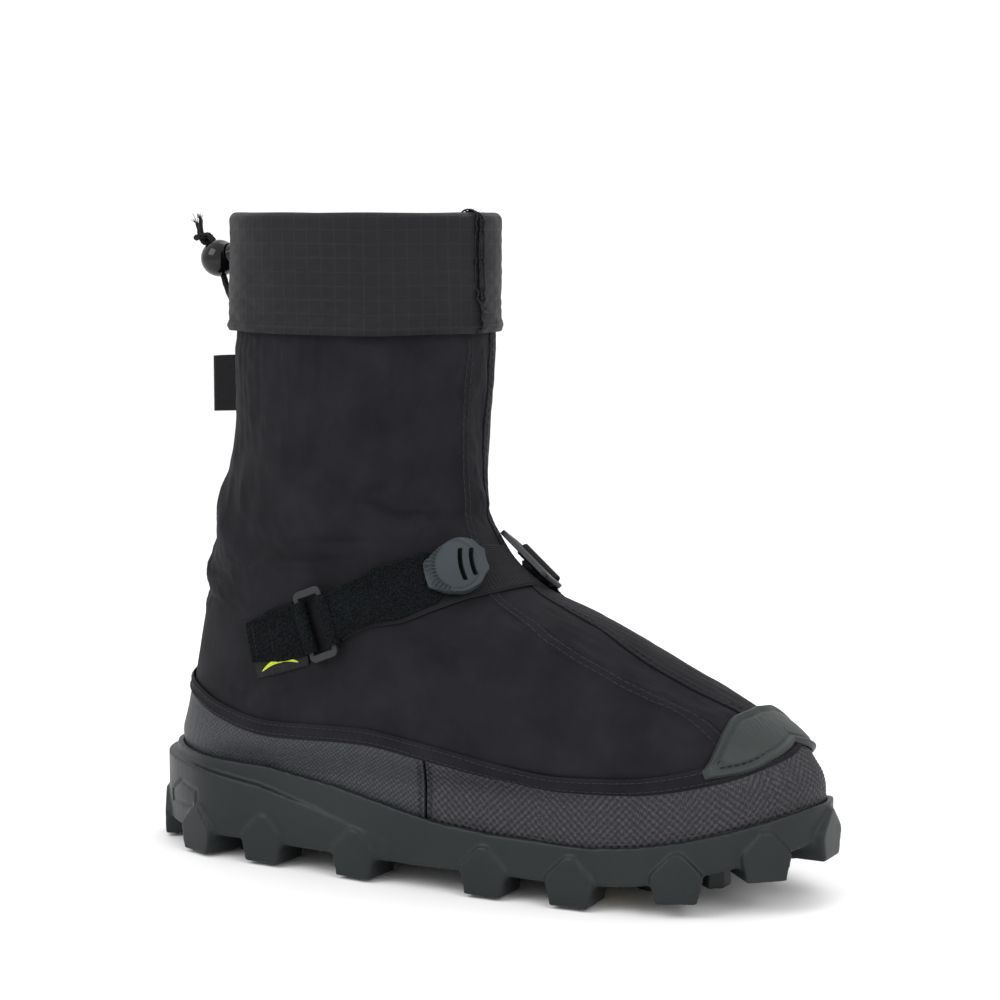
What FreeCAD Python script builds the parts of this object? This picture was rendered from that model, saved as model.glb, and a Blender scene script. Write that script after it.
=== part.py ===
"""Winter overshoe for the right foot: studded rubber sole, coated rand, nylon shaft with a folded collar,
an instep strap on a plastic loop and a drawcord with a ball lock.

Millimetres, +Z up, toe along +X, outer (lateral) side along -Y. The shapes are drawn from the heel of the
sole and the ground, and are moved at the end so that the origin is the bottom centre of the overshoe.
"""
import FreeCAD, Part
import math
import os
from FreeCAD import Vector

# Overall sizes
SOLE_LENGTH = 333.5
SOLE_WIDTH = 122.0
ANKLE_HEIGHT = 166.0        # ground to the bend of the instep
TOTAL_HEIGHT = 300.0        # ground to the fold of the collar

# The last, which the overall sizes grade
LAST_LENGTH = 333.5
LAST_WIDTH = 122.0
LAST_ANKLE = 166.0
LAST_HEIGHT = 300.0

# Rubber sole
HEEL_X = 2.5                # back of the tread
LUG_TIP = 1.5               # lugs end this far above the stud tips
LUG_DEPTH = 11.0            # ground to the underside of the slab
SLAB = 5.0
CUP_WALL = 3.0
TOE_SPRING = 18.0
SPRING_START = 248.0        # the sole is flat up to here
EDGE_LUG_WIDTH = 23.0
EDGE_LUG_REACH = 19.0       # how far an edge lug runs in under the sole
EDGE_LUG_PROUD = 1.6
GABLE_HEIGHT = 12.5         # rise of an edge lug's pointed top on the side wall
CENTRE_LUG = (17.0, 13.0)
STUD_RADIUS = 2.6
STUD_SHANK = (2.0, 6.5)     # radius, length
MIDSOLE = 7.0
BOARD = 2.0
INLAY = (20.0, 9.0, 1.4)

# Upper
FABRIC = 1.2
LINING = 0.8
LINING_GAP = 0.8            # the lining hangs loose inside the fabric
RAND = 1.6
RAND_PROUD = 0.6
BINDING = 0.8
BINDING_BELOW = 3.0
BINDING_ABOVE = 4.0
PATCH = 2.0
SEAM = 0.3                  # gap between two sewn pieces
FIT = 0.2                   # gap between two layers
CUP_FIT = 0.4               # glue line between the rand and the rubber
LOOSE_FIT = 0.6             # gap between a piece that lifts off and the layer under it

# Collar
COLLAR_HEIGHT = 54.0
COLLAR_THICKNESS = 1.4
COLLAR_GAP = 1.0
COLLAR_TURN_IN = 30.0       # how far the inner leaf runs down inside the shaft

# Instep strap
WEB_WIDTH = 25.0
WEB_THICKNESS = 1.2
WEB_LIFT = 0.6
PILE = 2.0
RING_SLOT = (10.4, 26.4)
RING_BAR = 2.4
RING_END = 3.4
BAR_LIFT = 3.6              # height of the loop's bars above the upper, to their middle
BUCKLE_LIFT = 4.8           # the same for the buckle
EYE_CLEARANCE = 0.3
EYE_WALL = 1.2
EYE_TRIM = 1.0              # an eye is this much narrower than its strap
ANCHOR_LENGTH = 31.0
RETURN_LENGTH = 52.0
TAB_LENGTH = 26.0
TAB_THICKNESS = 2.8
TAB_OVERLAP = 6.0
BUCKLE_PLACE = 101.0        # from the loop, along the strap
BUCKLE_SLOT = (7.0, 26.4)
MEDIAL_LIFT = 0.6           # the inner anchor lies this far above the upper
LABEL = (30.0, 15.0, 0.4)

# Heel loop and drawcord
LOOP_REACH = 23.0
LOOP_HEIGHT = 27.0
LOOP_Z = 219.5
LOOP_GAP = 4.8
LOOP_WEB = 1.4
CORD_DIAMETER = 2.9
CORD_FIT = 0.5
BALL_RADIUS = 8.8
PLUNGER_RADIUS = 5.0
PLUNGER_PROUD = 3.4
PLUNGER_TRAVEL = 3.0
RUNNING_FIT = 0.15


def smooth(points):
    """Monotone curve through (x, y) points, flat beyond neither end."""
    xs = [point[0] for point in points]
    ys = [point[1] for point in points]
    steps = [b - a for a, b in zip(xs, xs[1:])]
    rises = [(b - a) / step for a, b, step in zip(ys, ys[1:], steps)]
    slopes = [rises[0]] + [0.0] * (len(xs) - 2) + [rises[-1]]
    for i in range(1, len(xs) - 1):
        if rises[i - 1] * rises[i] > 0:
            before = 2 * steps[i] + steps[i - 1]
            after = steps[i] + 2 * steps[i - 1]
            slopes[i] = (before + after) / (before / rises[i - 1] + after / rises[i])

    def value(x):
        x = min(max(x, xs[0]), xs[-1])
        i = max(k for k in range(len(steps)) if xs[k] <= x)
        t = (x - xs[i]) / steps[i]
        start = (1 + 2 * t) * (1 - t) ** 2 * ys[i] + t * (1 - t) ** 2 * steps[i] * slopes[i]
        end = t * t * (3 - 2 * t) * ys[i + 1] + t * t * (t - 1) * steps[i] * slopes[i + 1]
        return start + end

    return value


def ease(value):
    """0 to 1 with flat ends."""
    value = min(max(value, 0.0), 1.0)
    return value * value * (3 - 2 * value)


# Grading: last sizes to real sizes
def grade_x(x):
    return x * SOLE_LENGTH / LAST_LENGTH


def grade_y(y):
    return y * SOLE_WIDTH / LAST_WIDTH


def grade_z(z):
    if z <= LAST_ANKLE:
        return z * ANKLE_HEIGHT / LAST_ANKLE
    return ANKLE_HEIGHT + (z - LAST_ANKLE) * (TOTAL_HEIGHT - ANKLE_HEIGHT) / (LAST_HEIGHT - LAST_ANKLE)


def last_z(z):
    if z <= ANKLE_HEIGHT:
        return z * LAST_ANKLE / ANKLE_HEIGHT
    return LAST_ANKLE + (z - ANKLE_HEIGHT) * (LAST_HEIGHT - LAST_ANKLE) / (TOTAL_HEIGHT - ANKLE_HEIGHT)


# Curves of the last. A turn goes from 0 at the back, by the lateral side at 90, to 180 at the toe.
# A share goes from 0 at the back to 1 at the front.
BACK_LINE = smooth([(20, 8), (45, 11), (60, 15.5), (90, 22.5), (107, 26), (136, 32.5), (165, 38),
                    (205, 48.5), (245, 48.5), (300, 47.5)])
FRONT_LINE = smooth([(20, 331), (50, 331), (66, 325), (82, 306), (99, 276), (117.5, 238), (130, 203),
                     (146, 181.5), (166, 170.5), (200, 169), (245, 171.5), (300, 172)])
SHARES = (0, 0.14, 0.4, 0.7, 0.88, 1.0)
HALF_WIDTHS = {62: (74, 63, 52, 56, 60, 56), 85: (72, 61, 49, 51, 53, 50), 105: (68, 58, 47, 46, 45, 41),
               130: (60, 54, 46.5, 43, 41, 39), 150: (56, 53, 49, 46, 45, 44),
               175: (54, 53, 51, 50, 49, 48), 205: (54, 54, 53, 53, 52, 52),
               300: (56, 56, 56, 56, 55, 55)}
WIDTH_LINES = [smooth([(z, row[i]) for z, row in HALF_WIDTHS.items()]) for i in range(len(SHARES))]
TREAD_LATERAL = smooth([(0, 68), (0.1, 70), (0.25, 57), (0.4, 53.5), (0.55, 54), (0.7, 61), (0.85, 71),
                        (1, 66)])
TREAD_MEDIAL = smooth([(0, 68), (0.1, 68), (0.25, 52), (0.4, 46), (0.55, 48), (0.7, 58), (0.85, 70),
                       (1, 72)])
UPPER_CAMBER = smooth([(0, 0), (90, -2), (190, -3), (255, 0), (336, 12)])
TREAD_SWING = 12.0          # the toe of the tread swings in towards the other foot
BAND_INSET = smooth([(0, 4.5), (0.15, 4.0), (0.45, 0.5), (1, 0.5)])
RIM_LINE = smooth([(0, 47), (57, 46.5), (82, 46), (120, 42), (148, 37), (166, 33), (197, 29.5),
                   (236, 27.5), (274, 30.5), (302, 36), (336, 46)])
STEP_END = 152.0            # the heel's bulge runs out here
STEP_PROFILE = ((STEP_END, 20), (130, 25), (108, 31), (80, 37), (40, 42), (-20, 43))
RAND_LINE = smooth([(0, 80), (29.5, 74), (41.5, 69), (57.5, 64.5), (77.5, 66), (91, 62.5), (104, 57.5),
                    (114.5, 54.5), (125, 55), (145, 60.5), (161, 66.5), (180, 72)])
PATCH_TOP = smooth([(0, 84), (12, 82.5), (21, 77.5), (28, 70.5), (33, 62.5)])
PATCH_BOTTOM = smooth([(0, 70.5), (14, 65.5), (23, 61.5), (33, 59.5)])
PATCH_MIDDLE = 175.0
PATCH_HALF = 33.0
NEAR_SEAM = smooth([(60, 152), (81, 154), (95, 147.5), (113, 142), (128, 149), (142, 160), (156, 168),
                    (172, 171), (292, 172)])
FAR_SEAM = smooth([(60, 170), (84, 168), (95, 163), (105, 161), (120, 167), (135, 176), (156, 186),
                   (292, 188)])
BLEND = (45.0, 62.0)        # below the first height the upper follows the rubber cup
SKIN_INSET = CUP_WALL + CUP_FIT + RAND_PROUD


def spring(x):
    """Rise of the toe."""
    run = max(x - grade_x(SPRING_START), 0) / (grade_x(LAST_LENGTH) - grade_x(SPRING_START))
    return TOE_SPRING * run ** 1.7


def share_of(turn):
    return (1 - math.cos(math.radians(turn))) / 2


def tread_point(turn):
    share = share_of(turn)
    x = HEEL_X + (grade_x(LAST_LENGTH)) * share
    half = (TREAD_LATERAL if math.sin(math.radians(turn)) >= 0 else TREAD_MEDIAL)(share)
    swing = TREAD_SWING * max(share - 0.53, 0) / 0.47
    return Vector(x, grade_y(swing - half * math.sin(math.radians(turn))), 0)


def tread_out(turn):
    """Outward direction of the tread's outline."""
    along = tread_point(turn + 0.5) - tread_point(turn - 0.5)
    return Vector(along.y, -along.x, 0).normalize()


def outline(turn, inset, z):
    point = tread_point(turn) - tread_out(turn) * inset
    return Vector(point.x, point.y, z)


def cup_inset(turn):
    return BAND_INSET(share_of(turn)) + CUP_WALL


def skin(turn, z):
    """Point of the upper's outer surface."""
    share = share_of(turn)
    height = last_z(z)
    back = grade_x(BACK_LINE(height))
    front = grade_x(FRONT_LINE(height))
    half = smooth(list(zip(SHARES, (line(height) for line in WIDTH_LINES))))(share)
    x = back + (front - back) * share
    y = grade_y(UPPER_CAMBER(x * LAST_LENGTH / SOLE_LENGTH) * ease((150 - height) / 60)
                - half * math.sin(math.radians(turn)))
    mix = ease((z - BLEND[0]) / (grade_z(BLEND[1]) - BLEND[0]))
    low = outline(turn, BAND_INSET(share) + SKIN_INSET, z)
    return low * (1 - mix) + Vector(x, y, z) * mix


def skin_out(turn, z):
    """Outward direction of the upper's surface."""
    across = skin(turn + 1, z) - skin(turn - 1, z)
    up = skin(turn, z + 1) - skin(turn, z - 1)
    return across.cross(up).normalize()


def lifted(turn, z, lift):
    return skin(turn, z) + skin_out(turn, z) * lift


def mirrored(turn):
    """The turn that a curve drawn for the lateral side is read at."""
    turn = turn % 360
    return min(turn, 360 - turn)


def rand_top(turn):
    return grade_z(RAND_LINE(mirrored(turn)))


def cup_floor(turn):
    return LUG_DEPTH + SLAB + spring(outline(turn, cup_inset(turn), 0).x)


# Solids from grids of points
def shell_solid(outer, inner):
    """Closed solid between two grids of points of one size."""
    surfaces = []
    for grid in (outer, inner):
        surface = Part.BSplineSurface()
        surface.interpolate(grid)
        surfaces.append(surface)
    faces = [surface.toShape() for surface in surfaces]
    for side in range(4):
        edges = []
        for surface in surfaces:
            limit = surface.bounds()[side]
            curve = surface.uIso(limit) if side < 2 else surface.vIso(limit)
            edges.append(curve.toShape())
        faces.append(Part.makeRuledSurface(edges[0], edges[1], 1))
    shell = Part.makeShell(faces)
    shell.sewShape()
    solid = Part.makeSolid(shell)
    if solid.Volume < 0:
        solid.reverse()
    return solid


def steps(start, end, count):
    return [start + (end - start) * i / (count - 1) for i in range(count)]


def layer(columns, lift, thickness):
    """Solid on the upper: columns is a grid of (turn, z), lift is its outside, or one per column."""
    lifts = lift if isinstance(lift, list) else [lift] * len(columns)
    grids = []
    for depth in (0.0, thickness):
        grids.append([[lifted(turn, z, height - depth) for turn, z in column]
                      for column, height in zip(columns, lifts)])
    return shell_solid(grids[0], grids[1])


def band(start, end, low, high, lift, thickness, size=(24, 5)):
    """Layer between two turns, from the height low(turn) to high(turn)."""
    columns = [[(turn, z) for z in steps(low(turn), high(turn), size[1])]
               for turn in steps(start, end, size[0])]
    return layer(columns, lift, thickness)


def panel(first, last, low, high, size):
    """Fabric panel whose two upright edges, first(z) and last(z), are turns that depend on height."""
    edges = []
    for edge in (first, last):
        turn = edge(high)
        for _ in range(12):
            turn = edge(low(turn))
        edges.append(turn)
    columns = []
    for share in steps(0.0, 1.0, size[0]):
        foot = low(edges[0] + (edges[1] - edges[0]) * share)
        heights = steps(foot, high, size[1])
        columns.append([(first(z) + (last(z) - first(z)) * share, z) for z in heights])
    return layer(columns, 0.0, FABRIC)


# Upper
def panel_foot(turn):
    return rand_top(turn) + 2 * SEAM


def shaft_top():
    return TOTAL_HEIGHT - COLLAR_THICKNESS - 6.2


def near_seam(z):
    return NEAR_SEAM(last_z(z))


def far_seam(z):
    return FAR_SEAM(last_z(z))


SEAM_TURN = 0.25            # half the gap of an upright seam, in degrees


def lateral_panel():
    return panel(lambda z: SEAM_TURN, lambda z: near_seam(z) - SEAM_TURN, panel_foot, shaft_top(), (34, 46))


def front_panel():
    return panel(lambda z: near_seam(z) + SEAM_TURN, lambda z: far_seam(z) - SEAM_TURN, panel_foot,
                 shaft_top(), (8, 46))


def medial_panel():
    return panel(lambda z: far_seam(z) + SEAM_TURN, lambda z: 360 - SEAM_TURN, panel_foot, shaft_top(),
                 (34, 46))


def lining_foot(turn):
    return cup_floor(turn) + MIDSOLE + BOARD + 5 * FIT


def lining_top():
    """The lining ends at the edge of the collar's inner leaf, to which it is sewn."""
    return collar_fold() - COLLAR_TURN_IN - SEAM


def lining():
    return band(SEAM_TURN, 360 - SEAM_TURN, lining_foot, lambda turn: lining_top(), -FABRIC - LINING_GAP,
                LINING, (68, 48))


def rand_foot(turn):
    return cup_floor(turn) + FIT


RAND_JOINT = 89.7           # the turn of the stitched joint between the two rands


def rand_rear():
    return band(-RAND_JOINT, RAND_JOINT, rand_foot, rand_top, RAND_PROUD, RAND, (40, 20))


def rand_front():
    return band(RAND_JOINT + 2 * SEAM_TURN, 360 - RAND_JOINT - 2 * SEAM_TURN, rand_foot, rand_top,
                RAND_PROUD, RAND, (48, 20))


def rand_binding():
    lift = RAND_PROUD + FIT + BINDING
    return band(SEAM_TURN, 360 - SEAM_TURN, lambda turn: rand_top(turn) - BINDING_BELOW,
                lambda turn: rand_top(turn) + BINDING_ABOVE, lift, BINDING, (80, 5))


def toe_patch():
    lift = RAND_PROUD + FIT + BINDING + FIT + PATCH
    return band(PATCH_MIDDLE - PATCH_HALF, PATCH_MIDDLE + PATCH_HALF,
                lambda turn: grade_z(PATCH_BOTTOM(abs(turn - PATCH_MIDDLE))),
                lambda turn: grade_z(PATCH_TOP(abs(turn - PATCH_MIDDLE))), lift, PATCH, (29, 8))


# Collar
COLLAR_SEAM_TURN = 172.0
COLLAR_OUT = COLLAR_GAP + COLLAR_THICKNESS
COLLAR_INSIDE = -FABRIC - LINING_GAP - LINING - LOOSE_FIT - COLLAR_THICKNESS


def collar_fold():
    """Height at which both leaves of the collar start to bend over."""
    return TOTAL_HEIGHT - (COLLAR_OUT - COLLAR_INSIDE) / 2


def collar_profile(offset):
    """(lift, z) along one face of the folded collar; offset is 0 outside and the thickness inside."""
    out = COLLAR_OUT
    inside = COLLAR_INSIDE
    radius = (out - inside) / 2
    middle = (out + inside) / 2
    centre = collar_fold()
    path = [(out - offset, z) for z in steps(TOTAL_HEIGHT - COLLAR_HEIGHT, centre, 20)]
    for angle in (45, 90, 135):
        turn = math.radians(angle)
        path.append((middle + (radius - offset) * math.cos(turn), centre + (radius - offset) * math.sin(turn)))
    path += [(inside + offset, z) for z in steps(centre, centre - COLLAR_TURN_IN, 12)]
    return path


def collar():
    turns = steps(COLLAR_SEAM_TURN + SEAM_TURN, COLLAR_SEAM_TURN + 360 - SEAM_TURN, 68)
    grids = []
    for offset in (0.0, COLLAR_THICKNESS):
        grids.append([[lifted(turn, z, lift) for lift, z in collar_profile(offset)] for turn in turns])
    return shell_solid(grids[0], grids[1])


def collar_seam():
    lift = COLLAR_GAP + COLLAR_THICKNESS + FIT + FABRIC
    return band(COLLAR_SEAM_TURN - 2.4, COLLAR_SEAM_TURN + 2.4,
                lambda turn: TOTAL_HEIGHT - COLLAR_HEIGHT + 1, lambda turn: TOTAL_HEIGHT - 6, lift, FABRIC,
                (4, 8))


# Rubber sole
def outline_face(inset, z, count=60):
    points = [outline(360.0 * i / count, inset(360.0 * i / count), z) for i in range(count)]
    curve = Part.BSplineCurve()
    curve.interpolate(points, PeriodicFlag=True)
    return Part.Face(Part.Wire(curve.toShape()))


def outline_block(inset, low, high):
    return outline_face(inset, low).extrude(Vector(0, 0, high - low))


PROFILE_STATIONS = (-20, 40, 82, 120, 150, 175, 200, 248, 270, 288, 304, 319, 332, 360)


def side_block(bottom, top):
    """Block over the whole width between two heights that depend on x."""
    places = [grade_x(x) for x in PROFILE_STATIONS]
    corners = [Vector(x, -SOLE_WIDTH, bottom(x)) for x in places]
    corners += [Vector(x, -SOLE_WIDTH, top(x)) for x in reversed(places)]
    return prism(corners, Vector(0, 2 * SOLE_WIDTH, 0))


def heel_block():
    """The heel's bulge lies under this profile."""
    profile = [(-20, LUG_DEPTH), (grade_x(STEP_END), LUG_DEPTH)]
    profile += [(grade_x(x), z) for x, z in STEP_PROFILE]
    return prism([Vector(x, -SOLE_WIDTH, z) for x, z in profile], Vector(0, 2 * SOLE_WIDTH, 0))


def slab_bottom(x):
    return LUG_DEPTH + spring(x)


def last_x(x):
    return x * LAST_LENGTH / SOLE_LENGTH


def sole_cup():
    """Side wall and slab, without lugs."""
    low, high = LUG_DEPTH - 5, RIM_LINE(0) + 10
    band = outline_block(lambda turn: BAND_INSET(share_of(turn)), low, high).common(
        side_block(slab_bottom, lambda x: RIM_LINE(last_x(x))))
    heel = outline_block(lambda turn: 0.0, low, high).common(heel_block())
    return heel.fuse(band)


def cavity():
    high = RIM_LINE(0) + 20
    return outline_block(cup_inset, LUG_DEPTH - 5, high).common(
        side_block(lambda x: slab_bottom(x) + SLAB, lambda x: high + 5))


def prism(corners, direction):
    return Part.Face(Part.makePolygon(corners + corners[:1])).extrude(direction)


EDGE_LUG_TURNS = (14, 41, 58.5, 77.5, 100.5, 115.5, 135, 154)
TOE_TURN = 180.0
CENTRE_LUG_SHARES = (0.13, 0.22, 0.31, 0.42, 0.52, 0.61, 0.70, 0.79, 0.88)
STUD_TURNS = (41, 58.5, 77.5, 115.5, 135, 154)


def edge_turns(turns):
    """The turns of one side, of the other and of the toe."""
    return [side * turn for turn in turns for side in (1, -1)] + [TOE_TURN]


def edge_lug(turn):
    """Block under the rim of the tread, with a pointed rib up the side wall."""
    middle = tread_point(turn)
    out = tread_out(turn)
    along = Vector(-out.y, out.x, 0)
    rise = spring(middle.x)
    face = middle + out * EDGE_LUG_PROUD
    half = EDGE_LUG_WIDTH / 2
    foot = half - 2.5

    def corner(side, z):
        return face + along * side + Vector(0, 0, z + rise)

    top = LUG_DEPTH + SLAB / 2
    block = prism([corner(-foot, LUG_TIP), corner(foot, LUG_TIP), corner(half, top), corner(-half, top)],
                  out * -(EDGE_LUG_REACH + EDGE_LUG_PROUD))
    peak = LUG_DEPTH + GABLE_HEIGHT
    rib = prism([corner(-half, LUG_DEPTH), corner(half, LUG_DEPTH), corner(half - 1, LUG_DEPTH + 4),
                 corner(2, peak), corner(-2, peak), corner(1 - half, LUG_DEPTH + 4)],
                out * -(EDGE_LUG_PROUD + CUP_WALL / 2))
    return [block, rib]


def centre_lugs():
    """Rows of lugs along the middle of the tread, two across."""
    lugs = []
    for number, share in enumerate(CENTRE_LUG_SHARES):
        for side in (-1, 1):
            x = HEEL_X + grade_x(LAST_LENGTH) * share + side * 5
            middle = Vector(x, grade_y(side * 12 + TREAD_SWING * max(share - 0.53, 0)), LUG_TIP + spring(x))
            length, width = CENTRE_LUG if number % 2 else CENTRE_LUG[::-1]
            corners = [middle + Vector(length / 2 * math.cos(math.radians(a)),
                                       width / 2 * math.sin(math.radians(a)), 0) for a in range(30, 390, 60)]
            lugs.append(prism(corners, Vector(0, 0, LUG_DEPTH + SLAB / 2 - LUG_TIP)))
    return lugs


def stud_places():
    places = []
    for turn in edge_turns(STUD_TURNS):
        point = outline(turn, EDGE_LUG_REACH / 2, 0)
        places.append(Vector(point.x, point.y, spring(tread_point(turn).x)))
    return places


def outsole():
    lugs = centre_lugs()
    for turn in edge_turns(EDGE_LUG_TURNS):
        lugs += edge_lug(turn)
    body = sole_cup().fuse(lugs)
    bores = [Part.makeCylinder(STUD_SHANK[0], STUD_SHANK[1] + LUG_TIP, place) for place in stud_places()]
    return body.cut([cavity()] + bores).removeSplitter()


def studs():
    shapes = []
    for place in stud_places():
        tip = Part.makeCylinder(STUD_RADIUS, LUG_TIP, place)
        shank = Part.makeCylinder(STUD_SHANK[0], STUD_SHANK[1], place + Vector(0, 0, LUG_TIP))
        shapes.append(tip.fuse(shank))
    return Part.makeCompound(shapes)


def inner_board(low, thickness):
    """Flat layer inside the rand, low above the floor of the cup."""
    def inset(turn):
        return BAND_INSET(share_of(turn)) + SKIN_INSET + RAND - RAND_PROUD + 2 * FIT

    def bottom(x):
        return slab_bottom(x) + SLAB + low

    block = outline_block(inset, LUG_DEPTH, TOE_SPRING + LUG_DEPTH + SLAB + MIDSOLE + 2 * BOARD + 10)
    return block.common(side_block(bottom, lambda x: bottom(x) + thickness))


def midsole():
    return inner_board(FIT, MIDSOLE)


def insole_board():
    return inner_board(MIDSOLE + 2 * FIT, BOARD)


def sole_inlay():
    """Coloured plate on the underside, between the lugs of the ball of the foot."""
    length, width, thickness = INLAY
    x = HEEL_X + grade_x(LAST_LENGTH) * 0.74
    z = LUG_DEPTH + spring(x - length / 2) - thickness - FIT
    plate = Part.makeBox(length, width, thickness, Vector(x - length / 2, grade_y(-31), z))
    edges = [edge for edge in plate.Edges if abs(edge.Vertexes[0].Z - edge.Vertexes[-1].Z) > thickness / 2]
    return plate.makeFillet(width / 3, edges)


# Strap: distances run from the middle of the plastic loop, along the strap, towards the front
STRAP_PATH = ((51.5, 102), (64, 108), (78, 115), (89, 121.5), (100, 127.2), (112, 132), (123.5, 136),
              (147, 141), (166, 142), (185, 141), (205, 136), (225, 126), (245, 114), (265, 105), (285, 98))
STRAP_TURN = smooth([(i, turn) for i, (turn, z) in enumerate(STRAP_PATH)])
STRAP_Z = smooth([(i, z) for i, (turn, z) in enumerate(STRAP_PATH)])
LOOP_STATION = 2
STATION_STEP = 0.02
FRAME_SPAN = 6.0            # a stiff piece follows the strap's mean direction over this far each way


def strap_table():
    """(distance, station) pairs all along the strap."""
    table = [(0.0, 0.0)]
    here = skin(STRAP_TURN(0), grade_z(STRAP_Z(0)))
    for i in range(1, int((len(STRAP_PATH) - 1) / STATION_STEP) + 1):
        station = i * STATION_STEP
        there = skin(STRAP_TURN(station), grade_z(STRAP_Z(station)))
        table.append((table[-1][0] + there.distanceToPoint(here), station))
        here = there
    zero = min(table, key=lambda row: abs(row[1] - LOOP_STATION))[0]
    return [(distance - zero, station) for distance, station in table]


STATIONS = smooth(strap_table()[::10])


def strap_place(distance):
    station = STATIONS(distance)
    return STRAP_TURN(station), grade_z(STRAP_Z(station))


def strap_frame(distance):
    """Foot on the upper, then the directions along, across (up) and out."""
    turn, z = strap_place(distance)
    before, after = (skin(*strap_place(distance + d)) for d in (-FRAME_SPAN, FRAME_SPAN))
    out = skin_out(turn, z)
    along = after - before
    along = (along - out * along.dot(out)).normalize()
    return skin(turn, z), along, out.cross(along), out


def across_strap(distance, side):
    """The turn and height of the point that lies side millimetres across the strap."""
    turn, z = strap_place(distance)
    across = strap_frame(distance)[2]
    by_turn = skin(turn + 0.5, z) - skin(turn - 0.5, z)
    by_z = (skin(turn, z + 0.5) - skin(turn, z - 0.5))
    a, b, c = by_turn.dot(by_turn), by_turn.dot(by_z), by_z.dot(by_z)
    p, q = by_turn.dot(across), by_z.dot(across)
    scale = a * c - b * b
    return turn + side * (p * c - q * b) / scale, z + side * (a * q - b * p) / scale


def ribbon(start, end, width, lift, thickness, shift=0.0, count=12):
    """Band that follows the strap's path; width and lift may depend on the share of its length."""
    columns = []
    lifts = []
    for share in steps(0.0, 1.0, count):
        distance = start + (end - start) * share
        half = (width(share) if callable(width) else width) / 2
        columns.append([across_strap(distance, shift + side) for side in steps(-half, half, 5)])
        lifts.append((lift(share) if callable(lift) else lift) + thickness)
    return layer(columns, lifts, thickness)


def put(shape, distance, lift):
    """Moves a shape drawn with x along, y across and z out to its place on the strap."""
    foot, along, across, out = strap_frame(distance)
    at = foot + out * lift
    matrix = FreeCAD.Matrix(along.x, across.x, out.x, at.x, along.y, across.y, out.y, at.y,
                            along.z, across.z, out.z, at.z, 0, 0, 0, 1)
    placed = shape.copy()
    placed.Placement = FreeCAD.Placement(matrix)
    return placed


BAR_PLACE = RING_SLOT[0] / 2 + RING_BAR / 2
EYE_INNER = RING_BAR * math.sqrt(0.5) + EYE_CLEARANCE
EYE_OUTER = EYE_INNER + EYE_WALL


def eye(place, offset, width, lift):
    """Loop of strap round a bar, which lies offset along from the middle of its plastic piece."""
    tubes = []
    for radius, length in ((EYE_OUTER, width), (EYE_INNER, width + 2 * RING_END)):
        tubes.append(Part.makeCylinder(radius, length, Vector(offset, -length / 2, 0), Vector(0, 1, 0)))
    return put(tubes[0], place, lift), put(tubes[1], place, lift)


def strap_with_eye(strap, place, offset, width, lift):
    solid, hole = eye(place, offset, width - EYE_TRIM, lift)
    return strap.fuse(solid).cut(hole)


def anchor_width(share):
    return 19.0 + (WEB_WIDTH - 19.0) * ease(share * 1.6)


def anchor_strap():
    end = -BAR_PLACE - EYE_INNER - EYE_WALL / 4
    strap = ribbon(end - ANCHOR_LENGTH, end, anchor_width, LABEL[2] + 0.5, PILE)
    return strap_with_eye(strap, 0.0, -BAR_PLACE, WEB_WIDTH, BAR_LIFT)


def strap_return():
    start = BAR_PLACE + EYE_INNER + EYE_WALL / 2
    strap = ribbon(start, start + RETURN_LENGTH, WEB_WIDTH, WEB_LIFT + WEB_THICKNESS + LOOSE_FIT, PILE, 0.0, 16)
    return strap_with_eye(strap, 0.0, BAR_PLACE, WEB_WIDTH, BAR_LIFT)


def instep_webbing():
    start = BAR_PLACE + EYE_OUTER + 4 * LOOSE_FIT
    return ribbon(start, BUCKLE_PLACE - 1, WEB_WIDTH, WEB_LIFT, WEB_THICKNESS, -1.5, 24)


def frame_plate(slots, bar, end, thickness):
    """Rounded plate with slots side by side, such as a strap loop or a buckle."""
    length = len(slots) * slots[0][0] + (len(slots) + 1) * bar
    width = slots[0][1] + 2 * end
    plate = Part.makeBox(length, width, thickness, Vector(-length / 2, -width / 2, -thickness / 2))
    corners = [edge for edge in plate.Edges if abs(edge.Vertexes[0].Z - edge.Vertexes[-1].Z) > thickness / 2]
    plate = plate.makeFillet(end * 0.9, corners)
    for number, (slot_length, slot_width) in enumerate(slots):
        x = -length / 2 + bar + number * (slot_length + bar)
        plate = plate.cut(Part.makeBox(slot_length, slot_width, 2 * thickness,
                                       Vector(x, -slot_width / 2, -thickness)))
    return plate


def strap_ring():
    return put(frame_plate([RING_SLOT], RING_BAR, RING_END, RING_BAR), 0.0, BAR_LIFT)


def medial_buckle():
    plate = frame_plate([BUCKLE_SLOT, BUCKLE_SLOT], RING_BAR, RING_END, RING_BAR)
    return put(plate, buckle_middle(), BUCKLE_LIFT)


def buckle_middle():
    return BUCKLE_PLACE + BUCKLE_SLOT[0] + 1.5 * RING_BAR


def buckle_bar():
    return BUCKLE_SLOT[0] + RING_BAR


def medial_anchor():
    start = buckle_middle() + buckle_bar() + EYE_INNER + EYE_WALL / 4
    bar_lift = BUCKLE_LIFT - PILE / 2
    strap = ribbon(start, start + ANCHOR_LENGTH, WEB_WIDTH,
                   lambda share: bar_lift + (MEDIAL_LIFT - bar_lift) * ease(share * 2.2), PILE)
    return strap_with_eye(strap, buckle_middle(), buckle_bar(), WEB_WIDTH, BUCKLE_LIFT)


TAB_WIDTH = smooth([(0, 13), (0.25, 24), (0.5, 28), (0.75, 24), (1, 10)])
TAB_SLOT_SHARES = (0.58, 0.76)


def tab_start():
    return BAR_PLACE + EYE_INNER + EYE_WALL / 4 + RETURN_LENGTH - TAB_OVERLAP


def tab_lift():
    return WEB_LIFT + WEB_THICKNESS + LOOSE_FIT + PILE + LOOSE_FIT / 2


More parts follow.
